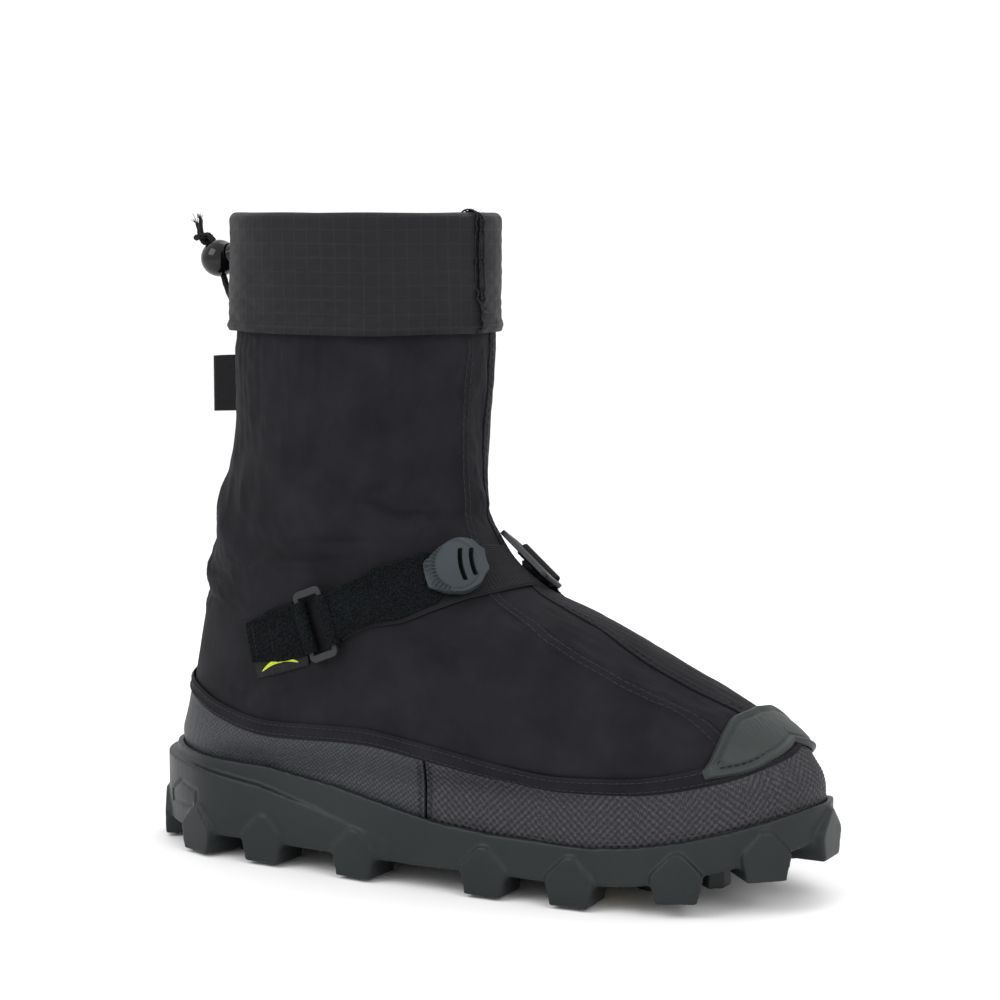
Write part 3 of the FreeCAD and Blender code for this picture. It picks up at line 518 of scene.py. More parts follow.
NYLON = nylon_paint()
RIPSTOP = ripstop_paint("ripstop", (0.0078, 0.0076, 0.0098))
INNER = ripstop_paint("inner_cloth", (0.016, 0.0155, 0.018))
# Dark and light thread tones of the rands; the light one is also the colour of the painted glints
RAND = rand_paint("rand_cloth", (0.006, 0.0058, 0.0075), (0.042, 0.04, 0.049), 0.34, 0.6, 0.0035)
REAR = rand_paint("rand_rear_cloth", (0.0105, 0.0115, 0.014), (0.042, 0.0445, 0.052), 0.45, 0.7, 0.0025)
RUBBER = rubber_paint("rubber", (0.0075, 0.0098, 0.0108), (0.013, 0.0162, 0.0172), 0.38, 0.55)
PATCH = rubber_paint("patch_rubber", (0.017, 0.022, 0.0215), (0.026, 0.031, 0.03), 0.42, 0.6)
FOAM = rubber_paint("foam", (0.05, 0.05, 0.05), (0.07, 0.07, 0.07), 0.8, 0.95)
PILE = pile_paint()
WEBBING = webbing_paint()
THREAD = thread_paint("thread", (0.009, 0.009, 0.011))
LIGHT_THREAD = thread_paint("seam_thread", (0.017, 0.0165, 0.02))
CORD = thread_paint("cord_yarn", (0.008, 0.008, 0.009))
LIME = thread_paint("lime_thread", (0.42, 0.5, 0.03))
LABEL = ripstop_paint("label_satin", (0.006, 0.006, 0.0075))
PLASTIC = plastic_paint("plastic", (0.0105, 0.0118, 0.0135), (0.0165, 0.0185, 0.021), 0.35, 0.5)
GRIP = plastic_paint("grip", (0.015, 0.021, 0.025), (0.024, 0.032, 0.037), 0.45, 0.62, 0.00008)
GLOSS = gloss_paint()
STEEL = steel_paint()
INLAY = inlay_paint()


def finish_piece(piece, material, slot, body, *nodes):
    """Material, body and replaced CAD nodes of one piece; the slot argument is not used."""
    piece.data.materials.clear()
    piece.data.materials.append(material)
    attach(piece, body)
    if nodes:
        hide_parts(*nodes)
    return piece


# Floor and lights; a lamp is (place, target, size, power)
WORLD_LIGHT = 1.12
LAMPS = (((-0.7, -1.3, 1.3), (0, 0, 0.12), 1.1, 14.0), ((1.3, -0.7, 0.9), (0, 0, 0.12), 0.9, 8.0),
         ((0.1, 0.9, 1.5), (0, 0, 0.15), 1.2, 7.0))


def floor_and_lights():
    bpy.ops.mesh.primitive_plane_add(size=8.0, location=(0, 0, 0))
    floor = bpy.context.object
    floor.name = "floor"
    floor.data.materials.append(floor_paint())
    world = bpy.data.worlds.new("world")
    world.use_nodes = True
    world.node_tree.nodes["Background"].inputs["Color"].default_value = (1, 1, 1, 1)
    world.node_tree.nodes["Background"].inputs["Strength"].default_value = WORLD_LIGHT
    bpy.context.scene.world = world
    bpy.context.scene.view_settings.view_transform = "Standard"
    for number, (place, target, size, power) in enumerate(LAMPS):
        data = bpy.data.lights.new("lamp_%d" % number, "AREA")
        data.size = size
        data.energy = power
        lamp = link(data.name, data)
        aim(lamp, place, target)


floor_and_lights()


# Drawcord: the route's points, from part.py
CORD_ROUTE = ((45.5, 0, 248), (37.9, 0, 254.4), (32.1, 0, 264.8), (26.3, 0, 287.8), (21.9, 0, 288.8))
CORD_RADIUS = 1.45
BALL_RADIUS = 8.8
CORD_AXIS = unit(np.subtract(CORD_ROUTE[3], CORD_ROUTE[2]))
BALL_CENTRE = CORD_ROUTE[3] - CORD_AXIS * (BALL_RADIUS + 1.5)
PLUNGER_AXIS = np.array((CORD_AXIS[2], 0.0, -CORD_AXIS[0]))
WELL_RADIUS = 5.15
WELL_FLOOR = -5.8           # leaves the button room for its travel


def cord_line():
    data = bpy.data.curves.new("drawcord_cord", "CURVE")
    data.dimensions = "3D"
    spline = data.splines.new("NURBS")
    spline.points.add(len(CORD_ROUTE) - 1)
    for point, place in zip(spline.points, framed(CORD_ROUTE)):
        point.co = (*place, 1)
    spline.order_u = 3
    spline.use_endpoint_u = True
    spline.resolution_u = 16
    data.bevel_depth = (CORD_RADIUS - 0.25) * MM      # the braid lies round it
    data.bevel_resolution = 4
    return link("drawcord_cord", data)


def line_points(curve_object):
    """Points of a curve's own spline, in heel coordinates."""
    copy = curve_object.copy()
    copy.data = curve_object.data.copy()
    copy.data.bevel_depth = 0
    mesh = bpy.data.meshes.new_from_object(copy)
    points = np.array([vertex.co for vertex in mesh.vertices], float) / MM - TO_FRAME
    bpy.data.objects.remove(copy)
    return points


def resampled(points, count):
    length = run_lengths(points)
    return read_line(np.linspace(0, length[-1], count), length, points), length[-1]


def frames_along(points):
    """Two directions square to a line, that turn as little as possible."""
    ahead = unit(np.gradient(points, axis=0))
    side = np.cross(ahead[0], (0.3, 1.0, 0.2))
    sides = []
    for direction in ahead:
        side = unit(side - direction * side.dot(direction))
        sides.append(side)
    sides = np.array(sides)
    return sides, np.cross(ahead, sides)


def tube_parts(points, radius, corners=6):
    """Vertices and faces of a closed thin tube; radius may be one number for each point."""
    sides, ups = frames_along(points)
    radius = np.broadcast_to(np.asarray(radius, float), (len(points),))
    angles = np.arange(corners) * 2 * math.pi / corners
    ring = sides[:, None] * np.cos(angles)[None, :, None] + ups[:, None] * np.sin(angles)[None, :, None]
    vertices = (points[:, None] + ring * radius[:, None, None]).reshape(-1, 3)
    faces = []
    for row in range(len(points) - 1):
        for k in range(corners):
            a, b = row * corners + k, row * corners + (k + 1) % corners
            faces.append((a, b, b + corners, a + corners))
    last = (len(points) - 1) * corners
    faces.append(tuple(range(corners - 1, -1, -1)))
    faces.append(tuple(range(last, last + corners)))
    return vertices, faces


def tubes(name, runs):
    """One mesh from many thin tubes, given as (points, radius, corners)."""
    vertices, faces, count = [], [], 0
    for points, radius, corners in runs:
        some, rows = tube_parts(np.asarray(points, float), radius, corners)
        vertices.append(some)
        faces += [tuple(i + count for i in row) for row in rows]
        count += len(some)
    return link(name, mesh_of(name, framed(np.concatenate(vertices)), faces))


def braid(points, radius, yarn, pitch, yarns=5, samples=60):
    """Yarns wound both ways round a line, passing over and under each other."""
    points, length = resampled(points, samples)
    sides, ups = frames_along(points)
    runs = []
    share = np.linspace(0, 1, samples)
    for way in (-1, 1):
        for number in range(yarns):
            angle = way * 2 * math.pi * length * share / pitch + 2 * math.pi * number / yarns
            weave = way * 0.35 * yarn * np.cos(yarns * angle)
            reach = (radius - yarn * 0.8 + weave)[:, None]
            around = sides * np.cos(angle)[:, None] + ups * np.sin(angle)[:, None]
            runs.append((points + reach * around, yarn, 5))
    return runs


def lathe(name, profile, segments=72):
    """Solid turned round the plunger's axis; the profile is (along the axis, radius) from axis to axis."""
    side = unit(np.cross(PLUNGER_AXIS, (0, 1.0, 0)))
    up = np.cross(PLUNGER_AXIS, side)
    angles = np.arange(segments) * 2 * math.pi / segments
    ring = side[None] * np.cos(angles)[:, None] + up[None] * np.sin(angles)[:, None]
    profile = np.array(profile)
    grid = BALL_CENTRE + profile[None, :, :1] * PLUNGER_AXIS + profile[None, :, 1:] * ring[:, None]
    faces = grid_faces(segments, len(profile), True)[:, ::-1]
    piece = link(name, mesh_of(name, framed(grid.reshape(-1, 3)), faces))
    tidy(piece)
    return piece


def tidy(piece):
    """Merges doubled points and turns all faces outwards."""
    work = bmesh.new()
    work.from_mesh(piece.data)
    bmesh.ops.remove_doubles(work, verts=work.verts, dist=1e-6)
    bmesh.ops.dissolve_degenerate(work, edges=work.edges, dist=1e-7)
    bmesh.ops.recalc_face_normals(work, faces=work.faces)
    work.to_mesh(piece.data)
    work.free()


def arc(centre, radius, first, last, count):
    """Points (along, radius) on a circle; angles in degrees from the axis."""
    angles = np.radians(np.linspace(first, last, count))
    return [(centre[0] + radius * math.cos(a), centre[1] + radius * math.sin(a)) for a in angles]


def ball_profile():
    """Ball with a rounded well for the button."""
    lip = math.degrees(math.asin((WELL_RADIUS + 0.5) / BALL_RADIUS))
    rim = BALL_RADIUS * math.cos(math.radians(lip))
    return ([(-BALL_RADIUS, 0.0)] + arc((0, 0), BALL_RADIUS, 179, lip, 40)
            + arc((rim - 0.4, WELL_RADIUS + 0.4), 0.4, 60, 180, 5)
            + [(WELL_FLOOR, WELL_RADIUS), (WELL_FLOOR, 0.0)])


def button_profile():
    top = BALL_RADIUS + 3.4
    return ([(-1.8, 0.0), (-1.8, 4.8)] + arc((top - 2.2, 2.8), 2.2, 90, 10, 9)
            + [(top - 0.15, 2.2), (top, 1.2), (top, 0.0)])


def knot_runs(points):
    """Overhand knot above the ball, with three frayed strands."""
    centre = points[-1] + np.array((-2.6, 0.0, -1.0))
    t = np.linspace(0, 2 * math.pi, 90)
    loop = (np.sin(t) + 1.9 * np.sin(2 * t), np.cos(t) - 1.9 * np.cos(2 * t), -1.1 * np.sin(3 * t))
    lean = np.array(Matrix.Rotation(math.radians(35), 3, "Y"))
    runs = braid(centre + 1.22 * np.stack(loop, -1) @ lean.T, 1.3, 0.4, 6.0, samples=150)
    draw = np.random.default_rng(5)
    for heading in ((-0.62, 0.1, 0.9), (-0.12, -0.2, 1.0), (-0.4, 0.35, 0.75)):
        heading = unit(np.array(heading))
        share = np.linspace(0, 1, 8)[:, None]
        trunk = centre + heading * (2.0 + 6.5 * share) + np.array((0.9, 0, 0)) * share ** 2
        runs.append((trunk, np.linspace(1.0, 0.75, 8), 8))
        for _ in range(9):
            spread = draw.normal(0, 0.22, 3)
            reach = (heading + spread) * (3.6 + draw.uniform(-1, 1.2))
            curl = draw.normal(0, 0.3, 3)
            runs.append((trunk[-1] - heading * 1.2 + reach * share + curl * share ** 2, 0.17, 4))
    return runs


def cord_parts():
    """The cord carries its lock and ends in a knot with frayed ends."""
    cord = cord_line()
    points = line_points(cord)
    finish_piece(cord, CORD, "cord", "boot", "drawcord_tail")
    yarns = finish_piece(tubes("drawcord_braid", braid(points, CORD_RADIUS, 0.42, 7.0)), CORD, "cord", "boot")
    knot = finish_piece(tubes("cord_knot_yarns", knot_runs(points)), CORD, "cord", "boot", "cord_knot")
    lock = finish_piece(lathe("cord_lock_ball", ball_profile()), GLOSS, "gloss", "lock", "cord_lock")
    button = lathe("cord_lock_button", button_profile())
    finish_piece(button, GLOSS, "gloss", "plunger", "lock_plunger")


cord_parts()


# Cloth: a draped offset over the upper, shared by all its panels
SWELL_STEP = 2.5            # degrees of turn, and mm of height
SWELL_TURNS = np.arange(0, 360, SWELL_STEP)
SWELL_HEIGHTS = np.arange(50.0, 262.0, SWELL_STEP)
SWELL = np.zeros((len(SWELL_TURNS), len(SWELL_HEIGHTS)))


def swell(turn, z):
    """Offset of the draped cloth from the plain surface."""
    row = np.mod(turn, 360) / SWELL_STEP
    column = np.clip((z - SWELL_HEIGHTS[0]) / SWELL_STEP, 0, len(SWELL_HEIGHTS) - 1.001)
    i, j = np.floor(row).astype(int), np.floor(column).astype(int)
    a, b = ease(row - i), ease(column - j)
    following = (i + 1) % len(SWELL_TURNS)
    i = i % len(SWELL_TURNS)
    low = SWELL[i, j] * (1 - a) + SWELL[following, j] * a
    high = SWELL[i, j + 1] * (1 - a) + SWELL[following, j + 1] * a
    return low * (1 - b) + high * b


def lay_bare(turn, z, lift):
    """Points over the plain surface, for rubber, straps and fittings."""
    lift = np.broadcast_to(lift, np.broadcast(turn, z).shape)
    return skin(turn, z) + skin_out(turn, z) * lift[..., None]


def lay(turn, z, lift):
    """Points on the draped cloth, lifted off it."""
    return lay_bare(turn, z, lift + swell(turn, z))


def bare_sheet(name, turn, z, high, low):
    """Closed sheet between two lifts over the plain surface."""
    return shell(name, lay_bare(turn, z, high), lay_bare(turn, z, low))


STATION_ROW = np.linspace(0, len(STRAP_PATH) - 1, 300)
STRAP_HEIGHTS = (np.concatenate(([-30], STRAP_TURN(STATION_ROW), [390])),
                 np.concatenate(([92], STRAP_Z(STATION_ROW), [92])))
TURN_LENGTH = 1.05          # about this many mm of cloth to a degree of turn
# Folds added to the simulated drape: (turn, height) at both ends, half width, rise, all but turns in mm
FOLDS = (((22, 176), (60, 140), 9, 3.0), ((38, 168), (84, 138), 7, -2.2), ((95, 205), (150, 158), 12, 2.6),
         ((84, 190), (140, 150), 9, -2.0), ((132, 128), (92, 96), 9, 2.8), ((126, 121), (100, 84), 8, -2.0),
         ((140, 122), (112, 78), 9, 2.6), ((146, 108), (128, 66), 7, -1.8), ((20, 118), (44, 92), 8, 2.0),
         ((8, 150), (30, 128), 8, 2.4), ((112, 236), (150, 205), 12, 1.8), ((30, 240), (70, 225), 12, 1.4),
         ((338, 176), (300, 140), 9, 3.0), ((322, 168), (276, 138), 7, -2.2), ((265, 205), (210, 158), 12, 2.6),
         ((228, 128), (268, 96), 9, 2.8), ((234, 121), (260, 84), 8, -2.0), ((220, 122), (248, 78), 9, 2.4),
         ((340, 118), (316, 92), 8, 2.0), ((352, 150), (330, 128), 8, 2.4), ((250, 236), (212, 205), 12, 1.8))


def held(turn, z):
    """0 where the cloth is sewn or strapped down, 1 where it hangs free."""
    above_strap = z - np.interp(np.mod(turn, 360), *STRAP_HEIGHTS)
    foot = ease((z - rand_top(turn) - 2.0) / 16.0)
    head = ease((252.0 - z) / 16.0)
    strapped = ease((np.abs(above_strap) - 11.0) / 12.0)
    seam = 0.35 + 0.65 * ease(np.abs(turn - NEAR_SEAM(z)) / 9.0)
    return foot * head * strapped * seam


def fold_sum(turn, z):
    total = np.zeros(turn.shape)
    for (turn_a, z_a), (turn_b, z_b), half, height in FOLDS:
        reach = np.array(((turn_b - turn_a) * TURN_LENGTH, z_b - z_a))
        along = unit(reach)
        du, dv = (turn - turn_a) * TURN_LENGTH, z - z_a
        run = (du * along[0] + dv * along[1]) / np.linalg.norm(reach)
        off = du * along[1] - dv * along[0]
        total += height * np.exp(-(off / half) ** 2) * np.exp(-((run - 0.5) / 0.42) ** 4)
    return total


DRAPE_FRAMES = 24
DRAPE_CAP = 6.0             # furthest that the cloth may move outwards, in mm
DRAPE_CAP_IN = 0.8          # and inwards, where the lining lies close behind it


def drape():
    """Simulates the cloth of the shaft and the instep, and returns its offset on the swell grid."""
    turn, z = np.meshgrid(SWELL_TURNS, SWELL_HEIGHTS, indexing="ij")
    base = skin(turn, z)
    out = skin_out(turn, z)
    cloth = link("drape", mesh_of("drape", framed(base.reshape(-1, 3)), grid_faces(*turn.shape, True)))
    pins = cloth.vertex_groups.new(name="pins")
    weights = (1 - np.clip(held(turn, z) * 1.6, 0, 1)).ravel()
    for index, weight in enumerate(weights):
        pins.add([index], float(weight), "REPLACE")
    settings = cloth.modifiers.new("cloth", "CLOTH").settings
    settings.quality = 6
    settings.mass = 0.15
    settings.tension_stiffness = 12.0
    settings.compression_stiffness = 12.0
    settings.shear_stiffness = 6.0
    settings.bending_stiffness = 0.35
    settings.vertex_group_mass = "pins"
    settings.pin_stiffness = 4.0
    settings.shrink_min = -0.04
    settings.use_pressure = True
    settings.uniform_pressure_force = 0.6
    settings.effector_weights.gravity = 0.35
    for number in range(1, DRAPE_FRAMES + 1):
        bpy.context.scene.frame_set(number)
    done = cloth.evaluated_get(bpy.context.evaluated_depsgraph_get()).to_mesh()
    moved = np.array([vertex.co for vertex in done.vertices], float) / MM - TO_FRAME
    bpy.context.scene.frame_set(1)
    bpy.data.objects.remove(cloth)
    return ((moved.reshape(base.shape) - base) * out).sum(-1)


def settle():
    """Fills the swell grid from the simulation and the folds."""
    turn, z = np.meshgrid(SWELL_TURNS, SWELL_HEIGHTS, indexing="ij")
    offset = drape()
    total = (0.5 * offset + fold_sum(turn, z) + 0.5 * wobble(turn, z, 3, 30.0)) * held(turn, z)
    cap = np.where(total > 0, DRAPE_CAP, DRAPE_CAP_IN)
    SWELL[:] = cap * np.tanh(total / cap) - 0.2 * (1 - held(turn, z))


settle()


# Fabric panels of the upper
SHAFT_TOP = 291.0
SEAM_GAP = 0.25             # degrees of turn from a seam to each panel
PANEL_FOOT = 0.6            # panels start this far above the rand's top edge
CLOTH = 1.2
STITCH_TOP = 246.0          # just under the collar's edge
HEM_TURN = 1.1              # about this many mm to a degree of turn beside the seams


def seam_foot(seam):
    """Turn at which a seam meets the rand."""
    turn = seam(np.array(200.0))
    for _ in range(12):
        turn = seam(rand_top(turn) + PANEL_FOOT)
    return float(turn)


def panel_grid(first, last, columns, rows):
    """Turn and height grids of a panel between two seams, each a turn for every height."""
    start, end = seam_foot(first), seam_foot(last)
    share = np.linspace(0, 1, columns)[:, None]
    foot = rand_top(start + (end - start) * share) + PANEL_FOOT
    z = foot + (SHAFT_TOP - foot) * np.linspace(0, 1, rows)[None, :]
    return first(z) + (last(z) - first(z)) * share, z


def hem(distance):
    """Lift of a felled edge, from its distance to the seam."""
    return 0.55 * ease((6.5 - distance) / 1.3)


def fabric_panel(name, first, last, size, node):
    turn, z = panel_grid(first, last, *size)
    lift = 0.22 * wobble(turn * 1.1, z, 11, 9.0) * held(turn, z)
    if node != "front_panel":
        lift = lift + hem(np.minimum(np.abs(turn - NEAR_SEAM(z)), np.abs(turn - FAR_SEAM(z))) * HEM_TURN)
    sheet = shell(name, lay(turn, z, lift), lay(turn, z, -CLOTH))
    finish_piece(sheet, NYLON, "nylon", "boot", node)


def upper():
    seams = (lambda z: 0 * z, NEAR_SEAM, FAR_SEAM, lambda z: 360 + 0 * z)
    for name, columns, first, last in zip(("lateral", "front", "medial"), (210, 24, 210), seams, seams[1:]):
        fabric_panel(name + "_cloth", lambda z: first(z) + SEAM_GAP, lambda z: last(z) - SEAM_GAP,
                     (columns, 190), name + "_panel")


upper()


# Stitches
def dashes(place, out, stitch, gap, radius):
    """Short threads along points, each sunk at its ends."""
    length = run_lengths(place)
    sink = np.array((-0.9, 0.0, 0.2, 0.0, -0.9))[:, None] * radius
    runs = []
    for start in np.arange(0, length[-1] - stitch, stitch + gap):
        at = start + stitch * np.linspace(0, 1, 5)
        runs.append((read_line(at, length, place) + read_line(at, length, out) * sink, radius, 5))
    return runs


def stitches(turn, z, lift, stitch=2.7, gap=1.0, radius=0.24, bare=False):
    """Runs of short thread along a line of turns and heights on the cloth."""
    place = (lay_bare if bare else lay)(turn, z, lift)
    return dashes(place, skin_out(turn, z), stitch, gap, radius)


def zigzag(place, out, width, step=1.6, radius=0.2):
    """Zigzag thread along points; width is across it, in mm."""
    length = run_lengths(place)
    side = unit(np.cross(out, np.gradient(place, axis=0)))
    at = np.arange(0, length[-1], step)
    sign = np.where(np.arange(len(at)) % 2, 0.5, -0.5)[:, None] * width
    return [(read_line(at, length, place) + read_line(at, length, side) * sign, radius, 5)]


def seam_stitches():
    runs = []
    for seam, side in ((NEAR_SEAM, -1), (FAR_SEAM, 1)):
        z = np.linspace(float(rand_top(seam_foot(seam))) + 6, STITCH_TOP, 400)
        for offset in (1.6, 5.2):
            runs += stitches(seam(z) + side * offset / HEM_TURN, z, 0.6)
    turn = np.arange(0.5, 359.5, 0.4)
    for rise in (2.6, -1.4):
        runs += stitches(turn, rand_top(turn) + rise, 1.75, 2.4, 0.9, 0.24, True)
    z = np.linspace(96, STITCH_TOP, 300)
    for offset in (-4, 4):
        runs += stitches(np.full(z.shape, 360.0 + offset), z, 0.15)
    return runs


finish_piece(tubes("seam_stitches", seam_stitches()), LIGHT_THREAD, "nylon", "boot")


# Rands with a coarse basket weave
def basket(u, v, period):
    """Relief of a basket weave, from 0 to 1."""
    a, b = u / period, v / period
    over = (np.floor(a) + np.floor(b)) % 2
    thread_u = np.abs(np.sin(2 * math.pi * b)) ** 0.7 * np.sin(math.pi * (a % 1)) ** 0.5
    thread_v = np.abs(np.sin(2 * math.pi * a)) ** 0.7 * np.sin(math.pi * (b % 1)) ** 0.5
    return np.where(over > 0.5, thread_u, thread_v)


RAND_JOINT = 89.7
RAND_UNDER = 9.0            # the rands reach this far below the outsole's rim
OUTSOLE_RIM = curve([(0, 47), (57, 46.5), (82, 46), (120, 42), (148, 37), (166, 33), (197, 29.5),
                     (236, 27.5), (274, 30.5), (302, 36), (336, 46)])


def rim_height(turn):
    return OUTSOLE_RIM(tread_point(turn)[..., 0])


def rand_piece(name, start, end, columns, rows, period, relief, material, node):
    """Woven band between two turns, from under the outsole's rim up to the tape."""
    heights = (lambda t: rim_height(t) - RAND_UNDER, rand_top, rows)
    turn, z = grid_of(np.linspace(start, end, columns), heights)
    u, v = grid_lengths(lay_bare(turn, z, 0.6))
    fade = ease((rand_top(turn) - z) / 3.0)
    lift = 0.6 + relief * (basket(u, v, period) - 0.5) * fade + 0.3 * wobble(turn, z, 21, 26.0) * fade
    finish_piece(bare_sheet(name, turn, z, lift, -1.0), material, "rand", "boot", node)


def rands():
    rand_piece("rand_front_cloth", RAND_JOINT + 0.5, 359.5 - RAND_JOINT, 900, 64, 1.75, 0.42, RAND, "rand_front")
    rand_piece("rand_rear_cloth", -RAND_JOINT, RAND_JOINT, 420, 70, 1.25, 0.22, REAR, "rand_rear")
    below, above = 3.0, 4.2
    heights = (lambda t: rand_top(t) - below, lambda t: rand_top(t) + above, 10)
    turn, z = grid_of(np.linspace(0.3, 359.7, 700), heights)
    rise = z - rand_top(turn)
    edge = np.minimum(rise + below, above - rise)
    lift = 1.0 + 0.55 * ease(edge / 1.1) - 0.22 * np.exp(-((rise - 0.6) / 0.8) ** 2)
    lift = lift + 0.12 * wobble(turn, z, 31, 8.0)
    finish_piece(bare_sheet("rand_edge_tape", turn, z, lift, 0.85), NYLON, "binding", "boot", "rand_binding")
    runs = []
    for joint in (RAND_JOINT + 0.2, 360 - RAND_JOINT - 0.2):
        z = np.linspace(float(rim_height(np.array(joint))), float(rand_top(joint)) - 3, 60)
        for offset in (-0.9, 0.9):
            turn = np.full(z.shape, joint + offset)
            runs += zigzag(lay_bare(turn, z, 0.95), skin_out(turn, z), 2.2)
    finish_piece(tubes("rand_joint_thread", runs), THREAD, "binding", "boot")


rands()


def toe_patch():
    """Half-moon of pebbled rubber with a raised rim and a stitched groove."""
    turn = np.linspace(PATCH_MIDDLE - PATCH_HALF, PATCH_MIDDLE + PATCH_HALF, 230)
    turn, z = grid_of(turn, (lambda t: PATCH_BOTTOM(np.abs(t - PATCH_MIDDLE)),
                             lambda t: PATCH_TOP(np.abs(t - PATCH_MIDDLE)), 70))
    place = lay_bare(turn, z, 3.0)
    rim = [np.linalg.norm(place - edge, axis=-1) for edge in (place[:, :1], place[:, -1:])]
    edge = np.minimum(np.minimum(rim[0], rim[1]), (PATCH_HALF - np.abs(turn - PATCH_MIDDLE)) * 0.9)
    bead = 0.75 * np.exp(-(edge - 1.5) ** 2) - 0.55 * np.exp(-((edge - 3.9) / 0.6) ** 2)
    grain = wobble(place[..., 1], place[..., 2] + place[..., 0], 41, 2.6)
    pebble = 0.16 * np.abs(grain) * ease(edge - 4.5)
    lift = 1.9 + 1.3 * ease(edge) + bead + pebble
    finish_piece(bare_sheet("toe_patch_rubber", turn, z, lift, 1.3), PATCH, "patch", "boot", "toe_patch")
    runs = []
    for column, rise in ((0, 3.4), (-1, -3.6)):
        runs += stitches(turn[8:-8, column], z[8:-8, column] + rise, 2.8, 2.2, 1.1, 0.26, True)
    finish_piece(tubes("toe_patch_stitches", runs), THREAD, "patch", "boot")


toe_patch()


# Collar
COLLAR_SEAM = 172.0
COLLAR_FOOT = 246.2
COLLAR_OUT_ROWS = 70
COLLAR_OUT = 2.4            # lift of the outer layer, and of the inner one behind the fold
COLLAR_INSIDE = -4.8


def collar_profile():
    """(lift, height) down the outside, over the fold and down the inside."""
    radius, middle = (COLLAR_OUT - COLLAR_INSIDE) / 2, (COLLAR_OUT + COLLAR_INSIDE) / 2
    centre = TOTAL_HEIGHT - radius
    path = [(COLLAR_OUT, z) for z in np.linspace(COLLAR_FOOT, centre, COLLAR_OUT_ROWS)]
    for angle in np.radians(np.linspace(12, 168, 14)):
        path.append((middle + radius * math.cos(angle), centre + radius * math.sin(angle)))
    path += [(COLLAR_INSIDE, z) for z in np.linspace(centre, centre - 30, 30)]
    return np.array(path)


def collar():
    path = collar_profile()
    turn = np.linspace(COLLAR_SEAM + 0.3, COLLAR_SEAM + 359.7, 420)[:, None]
    lift, z = path[None, :, 0], path[None, :, 1]
    outside = ease((lift + 3.0) / 4.0)
    drop = ease((285.0 - z) / 40.0)
    waves = 0.9 * wobble(turn * 0.9, z * 1.6, 51, 46.0) + 0.35 * wobble(turn, z * 2.2, 52, 15.0)
    flare = 1.3 * drop * (1 + 0.6 * np.sin(np.radians(turn * 3 + 40)))
    bend = outside * (waves * (0.4 + 0.6 * drop) + flare)
    roll = 0.8 * outside * np.exp(-((z - 248.5) / 1.8) ** 2)
    height = z + 0.8 * wobble(turn, 0 * z, 53, 60.0) * (0.6 - 1.1 * ease((z - 246) / 50)) - 0.6
    half = 0.55 * np.sign(lift + 1.2)
    grids = [lay_bare(turn + 0 * z, height, lift - 0.6 + sign * half + bend + (roll if sign > 0 else 0))
             for sign in (1, -1)]
    finish_piece(shell("collar_cloth", grids[0], grids[1]), RIPSTOP, "ripstop", "boot", "collar")
    line = np.arange(COLLAR_SEAM + 4, COLLAR_SEAM + 356, 0.5)
    points = np.stack([np.interp(line, turn[:, 0], grids[0][:, 6, k]) for k in range(3)], -1)
    runs = dashes(points, skin_out(line, np.full(line.shape, 250.0)), 2.6, 1.0, 0.22)
    finish_piece(tubes("collar_stitches", runs), THREAD, "ripstop", "boot")
    raw_edge(grids[0][-1, :84], grids[0][0, :84])


def raw_edge(first, second):
    """Overlocked, slightly frayed seam down the front of the collar."""
    middle = (first + second) / 2
    out = unit(np.cross(np.gradient(middle, axis=0), first - second))
    out *= np.sign((out * (middle - (110.0, 0, 0))).sum(1, keepdims=True))
    side = unit(np.cross(out, np.gradient(middle, axis=0)))
    draw = np.random.default_rng(17)
    runs = []
    for lift, width in ((0.5, 5.2), (0.8, 3.4)):
        runs += zigzag(middle + out * lift, out, width, 0.9, 0.26)
    for offset in (-2.4, 0.0, 2.4):
        runs.append((middle + out * 0.75 + side * offset, 0.42, 6))
    for _ in range(150):
        place = draw.integers(2, len(middle) - 2)
        start = middle[place] + side[place] * draw.uniform(-2.6, 2.6) + out[place] * 0.5
        heading = out[place] * draw.uniform(0.3, 1.5) + draw.normal(0, 0.8, 3)
        share = np.linspace(0, 1, 5)[:, None]
        runs.append((start + heading * 1.5 * share + draw.normal(0, 0.5, 3) * share ** 2, 0.09, 4))
    finish_piece(tubes("collar_seam_thread", runs), THREAD, "ripstop", "boot", "collar_seam")


collar()


def lining():
    turn, z = grid_of(np.linspace(0.3, 359.7, 150), (30.0, 266.0, 90))
    lift = -2.4 + 0.3 * wobble(turn, z, 61, 22.0)
    piece = bare_sheet("lining_cloth", turn, z, lift, lift - 0.7)
    finish_piece(piece, INNER, "lining", "boot", "lining")


lining()


# Straps
BAR_PLACE = 6.4             # from the middle of the ring to the middle of each bar
BAR_LIFT = 3.6
EYE_INNER = 2.0             # radii of the webbing that is wrapped round a bar
EYE_OUTER = 3.2
EYE_GAP = 0.3
BUCKLE_MIDDLE = 111.6
BUCKLE_BAR = 9.4
BUCKLE_LIFT = 4.8
WEB_WIDTH = 25.0
RETURN_LENGTH = 52.0
TAB_LENGTH = 26.0
TAB_START = BAR_PLACE + EYE_INNER + EYE_GAP + RETURN_LENGTH - 6.0


def ribbon_grids(start, end, width, under, over, shift=0.0, size=(150, 60)):
    """Outer and inner grids of a band along the strap; width and under take the share of its length."""
    along, across = np.meshgrid(np.linspace(0, 1, size[0]), np.linspace(-1, 1, size[1]), indexing="ij")
    length = (end - start) * along
    half = width(along) / 2
    side = shift + across * half
    turn, z = across_strap(start + length, side)
    round_off = np.sqrt(np.clip(half * (1 - np.abs(across)), 0.02, 1))
    low = under(along)
    high = low + over(length, side) * round_off
    return lay_bare(turn, z, high), lay_bare(turn, z, low)


def steady(value):
    return lambda share: value + 0 * share


def pile(length, side):
    """Height of looped pile."""
    return 1.7 + 0.28 * wobble(length, side, 71, 1.5) + 0.2 * wobble(length, side, 72, 0.9)


